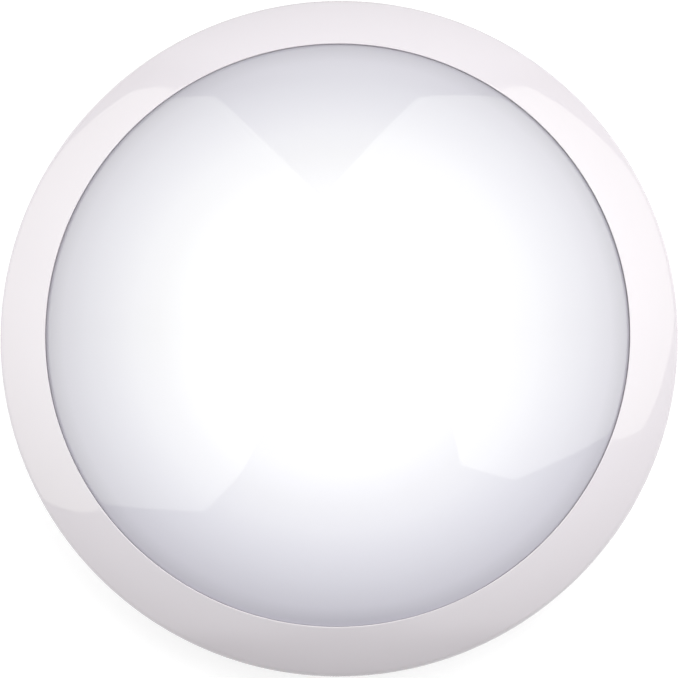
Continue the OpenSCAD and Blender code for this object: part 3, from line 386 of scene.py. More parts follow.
# A white room. Gloss shows its low front end dark and its low back end bright
def makeWorld(values):
    world = bpy.data.worlds.new("studio")
    world.use_nodes = True
    bpy.context.scene.world = world
    tree = world.node_tree
    direction = addNode(tree, "TexCoord").outputs["Generated"]
    lean = addNode(tree, "VectorMath", {0: direction, 1: values["ambientLean"]},
                   operation="DOT_PRODUCT").outputs["Value"]
    ambient = maths(tree, "ADD", lean, values["ambient"])
    seen = seenMask(tree)
    unseen = maths(tree, "SUBTRACT", 1.0, seen)
    level = maths(tree, "ADD", seen, maths(tree, "MULTIPLY", ambient, unseen))
    depth = addNode(tree, "SeparateXYZ", {0: direction}).outputs[1]
    start, full = values["endBand"]
    frontGain, backGain = values["endGain"]
    front = stepUp(tree, depth, -full, -start, frontGain, 0.0)
    back = stepUp(tree, depth, start, full, 0.0, backGain)
    glossy = addNode(tree, "LightPath").outputs["Is Glossy Ray"]
    ends = maths(tree, "MULTIPLY", maths(tree, "ADD", front, back), glossy)
    level = maths(tree, "ADD", level, ends)
    tree.nodes["Background"].inputs["Color"].default_value = (1.0, 1.0, 1.0, 1.0)
    tree.links.new(level, tree.nodes["Background"].inputs["Strength"])


makeFloor(stageLook)
for boxName, boxValues in softboxes.items():
    makeSoftbox(boxName, boxValues, stageLook["glossTone"])
makeWorld(stageLook)
print("stage ready")


# Modelling helpers

modelling = {
    "startSize": 0.002,
    "mergeGap": 0.000005,
    "smoothAngle": 28,
}


def clearPick():
    if bpy.context.object and bpy.context.object.mode != "OBJECT":
        bpy.ops.object.mode_set(mode="OBJECT")
    bpy.ops.object.select_all(action="DESELECT")


def pickPieces(main, others=()):
    clearPick()
    for piece in (*others, main):
        piece.select_set(True)
    bpy.context.view_layer.objects.active = main


def applyPlace():
    bpy.ops.object.transform_apply(location=True, rotation=True, scale=True)


# Starts an edit with the points that pass a test picked
def editPicked(piece, test):
    bpy.ops.object.mode_set(mode="EDIT")
    bpy.ops.mesh.select_mode(type="VERT")
    bpy.ops.mesh.select_all(action="DESELECT")
    bpy.ops.object.mode_set(mode="OBJECT")
    for vertex in piece.data.vertices:
        vertex.select = test(vertex.co)
    bpy.ops.object.mode_set(mode="EDIT")


# A line of points in the XZ plane, extruded one by one from a single corner
def drawLine(name, points):
    clearPick()
    bpy.ops.mesh.primitive_plane_add(size=modelling["startSize"],
                                     location=(points[0][0], 0, points[0][1]))
    piece = bpy.context.object
    piece.name = name
    applyPlace()
    bpy.ops.object.mode_set(mode="EDIT")
    bpy.ops.mesh.select_all(action="SELECT")
    bpy.ops.mesh.merge(type="CENTER")
    for (x0, z0), (x1, z1) in zip(points, points[1:]):
        bpy.ops.mesh.extrude_region_move(TRANSFORM_OT_translate={"value": (x1 - x0, 0, z1 - z0)})
    bpy.ops.mesh.select_all(action="SELECT")
    bpy.ops.mesh.remove_doubles(threshold=modelling["mergeGap"])
    return piece


# Turns a drawn line round the light's axis
def turnLine(name, points, steps):
    piece = drawLine(name, points)
    bpy.ops.mesh.spin(steps=steps, angle=math.tau, center=(0, 0, 0), axis=(0, 0, 1))
    bpy.ops.mesh.select_all(action="SELECT")
    bpy.ops.mesh.remove_doubles(threshold=modelling["mergeGap"])
    bpy.ops.mesh.normals_make_consistent(inside=False)
    bpy.ops.object.mode_set(mode="OBJECT")
    return piece


# Turns a piece's mesh round the light's axis and leaves the object unturned
def turnPiece(piece, degrees):
    piece.rotation_euler = (0, 0, math.radians(degrees))
    pickPieces(piece)
    applyPlace()


# Copies of a piece, one turned to each angle, in place of the piece
def turnCopies(piece, angles):
    copies = []
    for angle in angles:
        made = piece.copy()
        made.data = piece.data.copy()
        bpy.context.scene.collection.objects.link(made)
        turnPiece(made, angle)
        copies.append(made)
    bpy.data.objects.remove(piece)
    return copies


def smoothPiece(piece):
    pickPieces(piece)
    bpy.ops.object.shade_smooth_by_angle(angle=math.radians(modelling["smoothAngle"]))


def joinPieces(main, others):
    pickPieces(main, others)
    bpy.ops.object.join()
    return main


# Points on an arc, with its angles in degrees
def arc(centreX, centreZ, radius, start, end, steps):
    points = []
    for i in range(steps + 1):
        angle = math.radians(start + (end - start) * i / steps)
        points.append((centreX + radius * math.cos(angle), centreZ + radius * math.sin(angle)))
    return points


# Heights and radii that the trim ring and the diffuser share
closure = {
    "openingRadius": 0.1401,
    "ringWall": 0.0024,
    "bevelIn": 28.0,
    "bevelOut": 36.0,
    "lipRadius": 0.00035,
    "edgeRadius": 0.004,
    "draft": 0.0008,
    "flangeRadius": 0.1565,
    "flangeTop": 0.0405,
    "seat": 0.038,
}
ringLow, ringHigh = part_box("trim_ring")
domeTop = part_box("diffuser")[1].z
ringRadius = ringHigh.x
skirtTop = ringRadius - closure["draft"]
skirtInside = skirtTop - closure["ringWall"]
angleIn = math.radians(closure["bevelIn"])
angleOut = math.radians(closure["bevelOut"])
faceStart = closure["openingRadius"] + closure["lipRadius"] * (1 + math.sin(angleIn))
faceEnd = skirtTop - closure["edgeRadius"] * (1 - math.sin(angleOut))
faceWidth = faceEnd - faceStart
slopeIn = math.tan(angleIn)
slopeGrow = math.tan(angleOut) - slopeIn


def faceDrop(outward):
    return slopeIn * outward + slopeGrow * outward ** 3 / (3 * faceWidth ** 2)


lipHeight = ringHigh.z
faceHeight = lipHeight - closure["lipRadius"] * (1 - math.cos(angleIn))
edgeHeight = faceHeight - faceDrop(faceWidth) - closure["edgeRadius"] * math.cos(angleOut)


# The ring's face from its outer end to its lip, moved inward by a wall
def faceLine(wall, steps):
    points = []
    for i in range(steps, -1, -1):
        outward = faceWidth * i / steps
        angle = math.atan(slopeIn + slopeGrow * (outward / faceWidth) ** 2)
        points.append((faceStart + outward - wall * math.sin(angle),
                       faceHeight - faceDrop(outward) - wall * math.cos(angle)))
    return points


# Trim ring

trimRing = {
    "steps": 256,
    "faceSteps": 30,
    "bendSteps": 12,
    "innerSteps": 6,
    "footRadius": 0.0008,
    "returnWall": 0.0016,
    "returnDepth": 0.005,
    "returnGap": 0.0003,
    "overlap": 0.001,
    "ledgeIn": 0.1552,
    "ledgeHeight": 0.0025,
    "ledgeSweep": 14,
    "ledgeAngles": (45, 135, 225, 315),
    "nibIn": 0.1548,
    "nibTop": 0.0377,
    "nibHeight": 0.0022,
    "nibSweep": 8,
    "nibCount": 6,
}
# A rib that presses on the diffuser's flange
pressRib = {"radius": 0.1500, "half": 0.001, "edge": 0.0003, "gap": 0.0002, "steps": 128}
sector = {"steps": 12, "edge": 0.0003, "edgeSteps": 2}
gusset = {"count": 24, "wall": 0.0012, "flangeGap": 0.0012, "ledgeGap": 0.007, "half": 0.001,
          "sink": 0.7}


# A block that follows the ring's curve, centred on angle 0, from one radius to another
def makeSector(name, inner, outer, low, high, sweep, values):
    clearPick()
    bpy.ops.mesh.primitive_plane_add(size=1, location=((inner + outer) / 2, 0, (low + high) / 2),
                                     rotation=(math.pi / 2, 0, 0))
    piece = bpy.context.object
    piece.name = name
    piece.scale = (outer - inner, high - low, 1)
    applyPlace()
    bpy.ops.object.mode_set(mode="EDIT")
    bpy.ops.mesh.select_all(action="SELECT")
    # Spin turns clockwise for a positive angle
    bpy.ops.mesh.spin(steps=values["steps"], angle=-math.radians(sweep), center=(0, 0, 0),
                      axis=(0, 0, 1))
    bpy.ops.mesh.select_all(action="SELECT")
    bpy.ops.mesh.normals_make_consistent(inside=False)
    bpy.ops.object.mode_set(mode="OBJECT")
    edge = piece.modifiers.new("edge", "BEVEL")
    edge.width = values["edge"]
    edge.segments = values["edgeSteps"]
    bpy.ops.object.modifier_apply(modifier="edge")
    turnPiece(piece, -sweep / 2)
    return piece


# A thin web between the skirt and the underside of the face
def makeGusset(values):
    inner = closure["flangeRadius"] + values["flangeGap"]
    outer = skirtInside + trimRing["overlap"]
    low = ringLow.z + trimRing["ledgeHeight"] + values["ledgeGap"]
    middle = (inner + outer) / 2
    half = values["half"]
    clearPick()
    bpy.ops.mesh.primitive_cube_add(size=1, location=(middle, 0, edgeHeight),
                                    scale=(outer - inner, values["wall"], 2 * half))
    piece = bpy.context.object
    applyPlace()
    under = faceHeight - faceDrop(inner - faceStart) - closure["ringWall"] * values["sink"]
    editPicked(piece, lambda co: co.x > middle and co.z < edgeHeight)
    bpy.ops.transform.translate(value=(0, 0, low - edgeHeight + half))
    editPicked(piece, lambda co: co.x < middle and co.z > edgeHeight)
    bpy.ops.transform.translate(value=(0, 0, under - edgeHeight - half))
    bpy.ops.object.mode_set(mode="OBJECT")
    return piece


def makePressRib(values):
    top = lipHeight - faceDrop(values["radius"] - faceStart) - closure["ringWall"] / 2
    low = closure["flangeTop"] + values["gap"]
    edge = values["edge"]
    inner = values["radius"] - values["half"]
    outer = values["radius"] + values["half"]
    return turnLine("pressRib", [(inner, top), (inner, low + edge), (inner + edge, low),
                                 (outer - edge, low), (outer, low + edge), (outer, top)],
                    values["steps"])


def makeTrimRing(values):
    foot = values["footRadius"]
    lip = closure["lipRadius"]
    opening = closure["openingRadius"]
    inside = opening + values["returnWall"]
    returnLow = lipHeight - values["returnDepth"]
    under = [p for p in reversed(faceLine(closure["ringWall"], values["faceSteps"]))
             if p[0] > inside + values["returnGap"]]
    edge = closure["edgeRadius"]
    edgeX = skirtTop - edge
    edgeTurn = 90 - closure["bevelOut"]
    lipTurn = 90 - closure["bevelIn"]
    points = [(skirtInside, ringLow.z)]
    points += arc(ringRadius - foot, ringLow.z + foot, foot, -90, 0, values["innerSteps"])
    points += arc(edgeX, edgeHeight, edge, 0, edgeTurn, values["bendSteps"])
    points += faceLine(0, values["faceSteps"])[1:]
    points += arc(opening + lip, lipHeight - lip, lip, lipTurn, 180, values["bendSteps"])[1:]
    points += [(opening, returnLow), (inside, returnLow), (inside, under[0][1])]
    points += under
    points += arc(edgeX, edgeHeight, edge - closure["ringWall"], edgeTurn, 0,
                  values["innerSteps"])[1:]
    points.append(points[0])
    ring = turnLine("trimRing", points, values["steps"])
    extras = [makePressRib(pressRib)]
    outer = skirtInside + values["overlap"]
    ledge = makeSector("ledge", values["ledgeIn"], outer, ringLow.z,
                       ringLow.z + values["ledgeHeight"], values["ledgeSweep"], sector)
    extras += turnCopies(ledge, values["ledgeAngles"])
    nib = makeSector("nib", values["nibIn"], outer, values["nibTop"] - values["nibHeight"],
                     values["nibTop"], values["nibSweep"], sector)
    extras += turnCopies(nib, [360 * i / values["nibCount"] for i in range(values["nibCount"])])
    web = makeGusset(gusset)
    extras += turnCopies(web, [360 * (i + 0.5) / gusset["count"] for i in range(gusset["count"])])
    ring = joinPieces(ring, extras)
    ring.name = "trimRing"
    smoothPiece(ring)
    return ring


ringPiece = makeTrimRing(trimRing)
print("trim ring turned")


# Diffuser

opalDome = {
    "steps": 256,
    "lineSteps": 64,
    "bendSteps": 12,
    "cornerSteps": 6,
    "rootSteps": 8,
    "rise": 0.027,
    "share": 0.55,
    "collarGap": 0.00003,
    "edgeRadius": 0.0008,
    "cornerRadius": 0.0004,
    "wall": 0.002,
    "collarEdge": 0.0004,
    "flangeEdge": 0.0003,
    "rootRadius": 0.0014,
}
pegs = {
    "radius": 0.0015,
    "sides": 32,
    "reach": 0.1436,
    "length": 0.005,
    "overlap": 0.001,
    "edge": 0.0005,
    "edgeSteps": 3,
    "touch": 0.0001,
    "angles": (22.5, 202.5),
}


def makePegs(values):
    made = []
    for angle in values["angles"]:
        clearPick()
        low = closure["seat"] - values["length"]
        depth = values["length"] + values["overlap"]
        bpy.ops.mesh.primitive_cylinder_add(vertices=values["sides"], radius=values["radius"],
                                            depth=depth,
                                            location=(values["reach"], 0, low + depth / 2))
        peg = bpy.context.object
        applyPlace()
        editPicked(peg, lambda co: co.z < low + values["touch"])
        bpy.ops.mesh.bevel(offset=values["edge"], segments=values["edgeSteps"])
        bpy.ops.object.mode_set(mode="OBJECT")
        turnPiece(peg, angle)
        made.append(peg)
    return made


def makeDome(values):
    collar = closure["openingRadius"] - values["collarGap"]
    rise = values["rise"]
    share = values["share"]

    def fall(radius):
        part = radius / collar
        return rise * (share * part ** 2 + (1 - share) * part ** 4)

    def slope(radius):
        part = radius / collar
        return math.atan(rise / collar * (2 * share * part + 4 * (1 - share) * part ** 3))

    edgeSlope = math.atan(rise * (4 - 2 * share) / collar)
    reach = collar - values["edgeRadius"] * (1 - math.sin(edgeSlope))
    shoulderZ = domeTop - fall(reach) - values["edgeRadius"] * math.cos(edgeSlope)
    shoulderX = collar - values["edgeRadius"]

    def domeLine(wall):
        points = []
        for i in range(values["lineSteps"] + 1):
            radius = reach * i / values["lineSteps"]
            points.append((max(0.0, radius - wall * math.sin(slope(radius))),
                           domeTop - fall(radius) - wall * math.cos(slope(radius))))
        return points

    tilt = 90 - math.degrees(edgeSlope)
    corner = values["cornerRadius"]
    root = values["rootRadius"]
    inside = collar - values["wall"]
    inEdge = values["collarEdge"]
    seat = closure["seat"]
    flange = closure["flangeRadius"]
    flangeTop = closure["flangeTop"]
    edge = values["flangeEdge"]
    points = [p for p in domeLine(values["wall"]) if p[0] < inside - corner]
    points += arc(inside - corner, points[-1][1] - corner, corner, tilt, 0, values["cornerSteps"])
    points += [(inside, seat + inEdge), (inside + inEdge, seat), (flange - edge, seat),
               (flange, seat + edge), (flange, flangeTop - edge), (flange - edge, flangeTop)]
    points += arc(collar + root, flangeTop + root, root, 270, 180, values["rootSteps"])
    outer = domeLine(0)
    outer += arc(shoulderX, shoulderZ, values["edgeRadius"], tilt, 0, values["bendSteps"])[1:]
    points += reversed(outer)
    dome = turnLine("opalDome", points, values["steps"])
    dome = joinPieces(dome, makePegs(pegs))
    dome.name = "opalDome"
    smoothPiece(dome)
    return dome


domePiece = makeDome(opalDome)
print("dome turned")

# The ring's base colour darkens towards its outer edge, between the radii in fall: painted shade
ringFinishAndPaintedShade = {
    "tone": (0.778, 0.74, 0.774),
    "paintedOuterShade": (0.742, 0.703, 0.735),
    "fall": (0.142, 0.163),
    "roughness": 0.035,
    "uneven": 0.03,
    "grain": 500.0,
    "mottle": 0.03,
    "relief": 0.0000006,
}
# Painted shade in the opal's base colour: its tone falls off outward towards the rim, and painted
# light lifts it towards the bottom
domeFinishAndPaintedShade = {
    "ior": 1.49,
    "roughness": 0.03,
    "uneven": 0.02,
    "grain": 500.0,
    "mottle": 0.012,
    "relief": 0.0000004,
    "stops": ((0.0, (0.93, 0.93, 0.93)), (0.48, (0.865, 0.865, 0.88)),
              (0.6, (0.8, 0.798, 0.82)), (0.68, (0.769, 0.767, 0.799)),
              (0.765, (0.714, 0.71, 0.753)), (0.85, (0.661, 0.656, 0.703)),
              (0.936, (0.593, 0.584, 0.634)), (0.97, (0.535, 0.527, 0.573)),
              (1.0, (0.472, 0.463, 0.508))),
    "radius": 0.1400,
    "leanRadius": 0.07,
    "paintedLowerLight": (1.125, 1.125, 1.15),
}


def makeOpal(values):
    material, tree, shader, place = startFinish("opalGlossPaintedShade", {"IOR": values["ior"]})
    radius = useGroup(tree, polarPlace, {"Place": place}).outputs["Radius"]
    # Painted shade: the base colour darkens with distance from the axis
    ramp = addNode(tree, "ValToRGB", {"Fac": maths(tree, "DIVIDE", radius, values["radius"])})
    stops = ramp.color_ramp.elements
    for position, tone in values["stops"][1:-1]:
        stops.new(position).color = (*tone, 1.0)
    stops[0].color = (*values["stops"][0][1], 1.0)
    stops[-1].color = (*values["stops"][-1][1], 1.0)
    # Painted light: the base colour is lifted towards the bottom of the dome
    height = addNode(tree, "SeparateXYZ", {0: place}).outputs[1]
    lean = maths(tree, "DIVIDE", height, maths(tree, "MAXIMUM", radius, values["leanRadius"]))
    paintedLowerLift = mixTone(tree, stepUp(tree, lean, -1.0, 0.0), values["paintedLowerLight"], (1.0, 1.0, 1.0))
    tone = mixTone(tree, 1.0, ramp.outputs["Color"], paintedLowerLift, "MULTIPLY")
    wearSkin(tree, shader, useSkin(tree, place, tone, values), values["relief"])
    return material


# Moulded plastics, rubbers, coats and sleeves

mouldedFinishes = {
    "white_polycarbonate": {"tone": (0.77, 0.755, 0.765), "roughness": 0.34, "uneven": 0.2,
                            "grain": 1500.0, "mottle": 0.06, "relief": 0.00001},
    "grey_silicone": {"tone": (0.5, 0.51, 0.52), "roughness": 0.55, "uneven": 0.25,
                      "grain": 2200.0, "mottle": 0.16, "relief": 0.000012},
    "black_rubber": {"tone": (0.035, 0.035, 0.037), "roughness": 0.6, "uneven": 0.3,
                     "grain": 1800.0, "mottle": 0.3, "relief": 0.000015},
    "white_steel": {"tone": (0.76, 0.76, 0.75), "roughness": 0.36, "uneven": 0.2,
                    "grain": 700.0, "mottle": 0.05, "relief": 0.000025},
    "led_frame": {"tone": (0.8, 0.79, 0.73), "roughness": 0.3, "uneven": 0.15,
                  "grain": 4000.0, "mottle": 0.08, "relief": 0.000005},
    "white_nylon": {"tone": (0.77, 0.76, 0.72), "roughness": 0.46, "uneven": 0.25,
                    "grain": 2600.0, "mottle": 0.1, "relief": 0.000014},
    "driver_plastic": {"tone": (0.75, 0.75, 0.73), "roughness": 0.5, "uneven": 0.22,
                       "grain": 1900.0, "mottle": 0.08, "relief": 0.00003},
    "sensor_plastic": {"tone": (0.78, 0.78, 0.77), "roughness": 0.45, "uneven": 0.2,
                       "grain": 2100.0, "mottle": 0.07, "relief": 0.000022},
    "blue_relay": {"tone": (0.06, 0.22, 0.55), "roughness": 0.35, "uneven": 0.15,
                   "grain": 2400.0, "mottle": 0.15, "relief": 0.00001},
    "dial_plastic": {"tone": (0.35, 0.55, 0.75), "roughness": 0.38, "uneven": 0.2,
                     "grain": 3000.0, "mottle": 0.2, "relief": 0.00001},
    "grey_terminal": {"tone": (0.62, 0.63, 0.64), "roughness": 0.42, "uneven": 0.22,
                      "grain": 2300.0, "mottle": 0.12, "relief": 0.000018},
    "brown_button": {"tone": (0.26, 0.12, 0.05), "roughness": 0.4, "uneven": 0.2,
                     "grain": 2600.0, "mottle": 0.25, "relief": 0.000012},
    "blue_button": {"tone": (0.07, 0.2, 0.5), "roughness": 0.4, "uneven": 0.2,
                    "grain": 2600.0, "mottle": 0.2, "relief": 0.000012},
    "dark_button": {"tone": (0.08, 0.08, 0.085), "roughness": 0.42, "uneven": 0.2,
                    "grain": 2600.0, "mottle": 0.25, "relief": 0.000012},
    "green_button": {"tone": (0.1, 0.42, 0.12), "roughness": 0.4, "uneven": 0.2,
                     "grain": 2600.0, "mottle": 0.2, "relief": 0.000012},
    "brown_sleeve": {"tone": (0.28, 0.13, 0.06), "roughness": 0.36, "uneven": 0.15,
                     "grain": 1200.0, "mottle": 0.25, "relief": 0.000008},
    "blue_sleeve": {"tone": (0.06, 0.25, 0.6), "roughness": 0.36, "uneven": 0.15,
                    "grain": 1200.0, "mottle": 0.2, "relief": 0.000008},
    "dark_sleeve": {"tone": (0.05, 0.05, 0.055), "roughness": 0.38, "uneven": 0.15,
                    "grain": 1200.0, "mottle": 0.25, "relief": 0.000008},
    "red_sleeve": {"tone": (0.6, 0.05, 0.04), "roughness": 0.36, "uneven": 0.15,
                   "grain": 1200.0, "mottle": 0.2, "relief": 0.000008},
}

# Sheet, drawn and turned metals
metalFinishes = {
    "stainless_spring": {"tone": (0.66, 0.66, 0.67), "roughness": 0.3,
                         "stretch": (2600.0, 2600.0, 120.0), "relief": 0.000006},
    "zinc_screws": {"tone": (0.7, 0.7, 0.71), "roughness": 0.32,
                    "stretch": (1500.0, 1500.0, 3200.0), "relief": 0.000006},
    "tinned_clamps": {"tone": (0.72, 0.72, 0.7), "roughness": 0.34,
                      "stretch": (900.0, 3200.0, 900.0), "relief": 0.000005},
    "brass_screw": {"tone": (0.8, 0.62, 0.28), "roughness": 0.3,
                    "stretch": (1500.0, 1500.0, 3200.0), "relief": 0.000005},
    "copper_antenna": {"tone": (0.75, 0.46, 0.28), "roughness": 0.36,
                       "stretch": (300.0, 2800.0, 900.0), "relief": 0.000004},
}

finishes = {}
for slotName, slotValues in mouldedFinishes.items():
    finishes[slotName] = makeMoulded(plainName(slotName), slotValues)
for slotName, slotValues in metalFinishes.items():
    finishes[slotName] = makeMetal(plainName(slotName), slotValues)


# 1 within a width of a value, 0 outside, with a soft side
def bandMask(tree, value, centre, half, soft):
    away = maths(tree, "ABSOLUTE", maths(tree, "SUBTRACT", value, centre))
    return stepUp(tree, away, half, half + soft, 1.0, 0.0)


# Distance along the arc from the nearest of some equal turns, in metres
def nearSpoke(tree, polar, count, offset):
    share = maths(tree, "MULTIPLY", polar.outputs["Turn"], count)
    share = maths(tree, "FRACT", maths(tree, "ADD", share, offset))
    share = maths(tree, "ABSOLUTE", maths(tree, "SUBTRACT", share, 0.5))
    return maths(tree, "MULTIPLY", maths(tree, "MULTIPLY", share, math.tau / count),
                 polar.outputs["Radius"])


grainBand = (0.3, 0.7)


# Fine grain on the shader's roughness
def addGrain(tree, shader, place, values):
    grain = addNoise(tree, place, values["grain"], values["grainDetail"])
    rough = stepUp(tree, grain, *grainBand, *values["roughness"])
    tree.links.new(rough, shader.inputs["Roughness"])
    return grain


foamFinish = {
    "tone": (0.23, 0.23, 0.24),
    "cell": 1400.0,
    "cellBand": (0.1, 0.7),
    "pitShadeShare": 0.45,
    "roughness": (0.98, 0.82),
    "relief": 0.0002,
}


# Grey foam whose cell pits are painted darker than the cell walls: painted shade in the pits
def makeFoam(values):
    material, tree, shader, place = startFinish("greyFoam", {})
    cells = addNode(tree, "TexVoronoi", {"Vector": place, "Scale": values["cell"]})
    wall = stepUp(tree, cells.outputs["Distance"], *values["cellBand"])
    pitShadeTone = tuple(value * values["pitShadeShare"] for value in values["tone"])
    tree.links.new(mixTone(tree, wall, pitShadeTone, values["tone"]), shader.inputs["Base Color"])
    tree.links.new(stepUp(tree, wall, 0.0, 1.0, *values["roughness"]), shader.inputs["Roughness"])
    addRelief(tree, shader, wall, values["relief"])
    return material


boardFinish = {
    "mask": (0.81, 0.81, 0.79),
    "gap": (0.66, 0.67, 0.62),
    "pad": (0.6, 0.6, 0.58),
    "poolRings": ((0.098, 30), (0.120, 42)),
    "poolHalf": 0.0045,
    "gapHalf": 0.00018,
    "gapSoft": 0.00008,
    "poolSoft": 0.0001,
    "screwRadius": 0.109,
    "screwCount": 6,
    "padBand": (0.0040, 0.0042),
    "roughness": 0.34,
    "uneven": 0.16,
    "grain": 1700.0,
    "mottle": 0.05,
    "skinHeight": 0.2,
    "relief": 0.00004,
}


# White mask over copper, with gaps between the pools of copper and bright pads at the screws
def makeLedBoard(values):
    material, tree, shader, place = startFinish("whiteBoard", {})
    polar = useGroup(tree, polarPlace, {"Place": place})
    radius = polar.outputs["Radius"]
    half = values["poolHalf"]
    gap = 0.0
    for poolRadius, count in values["poolRings"]:
        away = maths(tree, "ABSOLUTE", maths(tree, "SUBTRACT", radius, poolRadius))
        rim = bandMask(tree, away, half, values["gapHalf"], values["gapSoft"])
        spoke = bandMask(tree, nearSpoke(tree, polar, count, 0.0), 0.0, values["gapHalf"],
                         values["gapSoft"])
        inside = stepUp(tree, away, half, half + values["poolSoft"], 1.0, 0.0)
        cut = maths(tree, "MAXIMUM", rim, maths(tree, "MULTIPLY", spoke, inside))
        gap = maths(tree, "MAXIMUM", gap, cut)
    along = nearSpoke(tree, polar, values["screwCount"], 0.5)
    across = maths(tree, "SUBTRACT", radius, values["screwRadius"])
    span = maths(tree, "SQRT", maths(tree, "ADD", maths(tree, "MULTIPLY", along, along),
                                     maths(tree, "MULTIPLY", across, across)))
    pad = stepUp(tree, span, *values["padBand"], 1.0, 0.0)
    skin = useSkin(tree, place, values["mask"], values)
    tone = mixTone(tree, gap, skin["Tone"], values["gap"])
    tree.links.new(mixTone(tree, pad, tone, values["pad"]), shader.inputs["Base Color"])
    tree.links.new(pad, shader.inputs["Metallic"])
    tree.links.new(skin["Roughness"], shader.inputs["Roughness"])
    height = maths(tree, "ADD", maths(tree, "SUBTRACT", 1.0, gap),
                   maths(tree, "MULTIPLY", skin["Height"], values["skinHeight"]))
    addRelief(tree, shader, height, values["relief"])
    return material


circuitFinish = {
    "mask": (0.03, 0.2, 0.07),
    "track": (0.06, 0.32, 0.12),
    "pad": (0.72, 0.7, 0.66),
    "tracks": {"Scale": 260.0, "Mortar Size": 0.035, "Brick Width": 1.4, "Row Height": 0.6},
    "pads": {"Scale": 330.0, "Randomness": 0.6},
    "padBand": (0.2, 0.25),
    "grain": 900.0,
    "grainDetail": 2.0,
    "roughness": (0.22, 0.42),
    "relief": 0.00004,
}


# Green mask with raised tracks and tinned pads
def makeCircuit(values):
    material, tree, shader, place = startFinish("greenBoard", {})
    tracks = addNode(tree, "TexBrick", {"Vector": place, **values["tracks"]}).outputs["Fac"]
    dots = addNode(tree, "TexVoronoi", {"Vector": place, **values["pads"]}).outputs["Distance"]
    pad = stepUp(tree, dots, *values["padBand"], 1.0, 0.0)
    tone = mixTone(tree, tracks, values["mask"], values["track"])
    tree.links.new(mixTone(tree, pad, tone, values["pad"]), shader.inputs["Base Color"])
    addGrain(tree, shader, place, values)
    addRelief(tree, shader, maths(tree, "ADD", tracks, pad), values["relief"])
    return material


phosphorFinish = {
    "ior": 1.41,
    "tone": (0.85, 0.66, 0.2),
    "deep": (0.72, 0.48, 0.08),
    "toneBand": (0.35, 0.65),
    "grain": 9000.0,
    "grainDetail": 4.0,
    "roughness": (0.16, 0.34),
    "relief": 0.00001,
}


def makePhosphor(values):
    material, tree, shader, place = startFinish("yellowPhosphor", {"IOR": values["ior"]})
    grain = addGrain(tree, shader, place, values)
    share = stepUp(tree, grain, *values["toneBand"])
    tree.links.new(mixTone(tree, share, values["deep"], values["tone"]), shader.inputs["Base Color"])
    addRelief(tree, shader, grain, values["relief"])
    return material


tapeFinish = {
    "coat": 0.4,
    "tone": (0.75, 0.5, 0.08),
    "edge": (0.42, 0.24, 0.03),
    "turns": {"Scale": 162.5, "Distortion": 1.2, "Detail": 2.0},
    "edgeBand": (0.1, 0.35),
    "roughness": (0.2, 0.45),
    "relief": 0.00006,
}


# Layers of amber tape with their edges showing
def makeTape(values):
    material, tree, shader, place = startFinish("amberTape", {"Coat Weight": values["coat"]})
    turns = addNode(tree, "TexWave", {"Vector": place, **values["turns"]},
                    bands_direction="Z").outputs["Fac"]
    edge = stepUp(tree, turns, *values["edgeBand"], 1.0, 0.0)
    tree.links.new(mixTone(tree, edge, values["tone"], values["edge"]), shader.inputs["Base Color"])
    tree.links.new(stepUp(tree, edge, 0.0, 1.0, *values["roughness"]), shader.inputs["Roughness"])
    addRelief(tree, shader, turns, values["relief"])
    return material


canFinish = {
    "sleeve": (0.03, 0.03, 0.035),
    "stripe": (0.55, 0.56, 0.58),
    "top": (0.75, 0.75, 0.76),
    "stripeBand": (0.0358, 0.036),
    "topBand": (0.0453, 0.0454),
    "grain": 1600.0,
    "grainDetail": 3.0,
    "roughness": (0.2, 0.38),
    "relief": 0.00001,
}


# Shrink sleeve with a pale stripe down one side and a bare top
def makeCanSleeve(values):
    material, tree, shader, place = startFinish("canSleeve", {})
    parts = addNode(tree, "SeparateXYZ", {0: place})
    stripe = stepUp(tree, parts.outputs[1], *values["stripeBand"], 1.0, 0.0)
    top = stepUp(tree, parts.outputs[2], *values["topBand"])
    tone = mixTone(tree, stripe, values["sleeve"], values["stripe"])
    tree.links.new(mixTone(tree, top, tone, values["top"]), shader.inputs["Base Color"])
    tree.links.new(top, shader.inputs["Metallic"])
    addRelief(tree, shader, addGrain(tree, shader, place, values), values["relief"])
    return material


lensFinishes = {
    "clear_cell": {"Base Color": (0.78, 0.86, 0.88), "Transmission Weight": 0.75, "IOR": 1.5},
    "red_lamp": {"Base Color": (0.6, 0.03, 0.025), "Transmission Weight": 0.35, "IOR": 1.5},
}
lensSkin = {"grain": 1400.0, "grainDetail": 3.0, "roughness": (0.04, 0.16), "relief": 0.000006}


def makeLens(name, values):
    material, tree, shader, place = startFinish(name, values)
    addRelief(tree, shader, addGrain(tree, shader, place, lensSkin), lensSkin["relief"])
    return material


stripedFinish = {
    "green": (0.08, 0.38, 0.07),
    "yellow": (0.86, 0.72, 0.05),
    "stripeBand": (0.48, 0.52),
    "grain": 1200.0,
    "grainDetail": 3.0,
    "roughness": (0.3, 0.44),
    "relief": 0.000008,
}


# Green sleeve with yellow down two sides, from the lead's own stripe attribute
def makeStripedSleeve(values):
    material, tree, shader, place = startFinish("stripedSleeve", {})
    side = addNode(tree, "Attribute", attribute_name="stripe").outputs["Fac"]
    yellow = stepUp(tree, side, *values["stripeBand"])
    tree.links.new(mixTone(tree, yellow, values["green"], values["yellow"]),
                   shader.inputs["Base Color"])
    addRelief(tree, shader, addGrain(tree, shader, place, values), values["relief"])
    return material


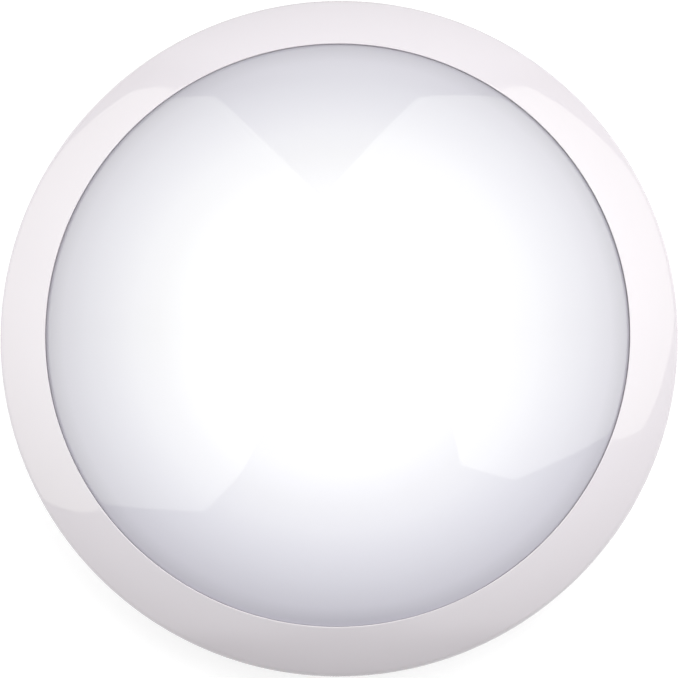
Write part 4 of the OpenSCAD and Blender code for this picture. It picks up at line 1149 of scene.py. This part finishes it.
finishes["grey_foam"] = makeFoam(foamFinish)
finishes["white_solder_mask"] = makeLedBoard(boardFinish)
finishes["green_board"] = makeCircuit(circuitFinish)
finishes["led_phosphor"] = makePhosphor(phosphorFinish)
finishes["amber_tape"] = makeTape(tapeFinish)
finishes["black_sleeve"] = makeCanSleeve(canFinish)
finishes["green_yellow_sleeve"] = makeStripedSleeve(stripedFinish)
for slotName, slotValues in lensFinishes.items():
    finishes[slotName] = makeLens(plainName(slotName), slotValues)
finishes["opal_diffuser"] = makeOpal(domeFinishAndPaintedShade)
ringGloss = makeMoulded("ringGloss", ringFinishAndPaintedShade)
print(len(finishes), "finishes made")


# CAD nodes keep their shapes and get these finishes
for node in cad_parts.values():
    for held in node.material_slots:
        held.material = finishes[held.material.name.split(".")[0]]


# Leads

leadLooks = {
    "live_lead": ("liveLead", "brown_sleeve"),
    "neutral_lead": ("neutralLead", "blue_sleeve"),
    "switched_lead": ("switchedLead", "dark_sleeve"),
    "driver_live_lead": ("driverLiveLead", "brown_sleeve"),
    "driver_neutral_lead": ("driverNeutralLead", "blue_sleeve"),
    "earth_lead": ("earthLead", "green_yellow_sleeve"),
    "led_positive_lead": ("ledPositiveLead", "red_sleeve"),
    "led_negative_lead": ("ledNegativeLead", "dark_sleeve"),
}
leadShape = {
    "mainsRadius": 0.0012,
    "ledRadius": 0.00085,
    "mergeGap": 0.000002,
    "quadAngles": (1.0, 1.2),
    "levels": 2,
    "swell": 0.1085,
}


# A lead's eight sided solid, merged, swelled by what smoothing takes off, and smoothed
def smoothLead(nodeName, name, slotName, values):
    piece = bpy.data.objects.new(name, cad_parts[nodeName].data.copy())
    bpy.context.scene.collection.objects.link(piece)
    pickPieces(piece)
    bpy.ops.mesh.customdata_custom_splitnormals_clear()
    bpy.ops.object.mode_set(mode="EDIT")
    bpy.ops.mesh.select_all(action="SELECT")
    bpy.ops.mesh.remove_doubles(threshold=values["mergeGap"])
    faceAngle, shapeAngle = values["quadAngles"]
    bpy.ops.mesh.tris_convert_to_quads(face_threshold=faceAngle, shape_threshold=shapeAngle)
    radius = values["ledRadius"] if nodeName.startswith("led") else values["mainsRadius"]
    bpy.ops.transform.shrink_fatten(value=radius * values["swell"])
    bpy.ops.object.mode_set(mode="OBJECT")
    smooth = piece.modifiers.new("smooth", "SUBSURF")
    smooth.levels = values["levels"]
    smooth.render_levels = values["levels"]
    bpy.ops.object.modifier_apply(modifier="smooth")
    bpy.ops.object.shade_smooth()
    if slotName == "green_yellow_sleeve":
        stripe = piece.data.attributes.new("stripe", "FLOAT", "POINT")
        for vertex in piece.data.vertices:
            stripe.data[vertex.index].value = abs(vertex.normal.z)
    piece.data.materials.clear()
    piece.data.materials.append(finishes[slotName])
    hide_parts(nodeName)
    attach(piece, "base")


for nodeName, (leadName, slotName) in leadLooks.items():
    smoothLead(nodeName, leadName, slotName, leadShape)
print("leads smoothed")

ringPiece.data.materials.clear()
ringPiece.data.materials.append(ringGloss)
domePiece.data.materials.clear()
domePiece.data.materials.append(finishes["opal_diffuser"])
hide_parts("trim_ring")
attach(ringPiece, "ring")
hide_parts("diffuser")
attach(domePiece, "cover")
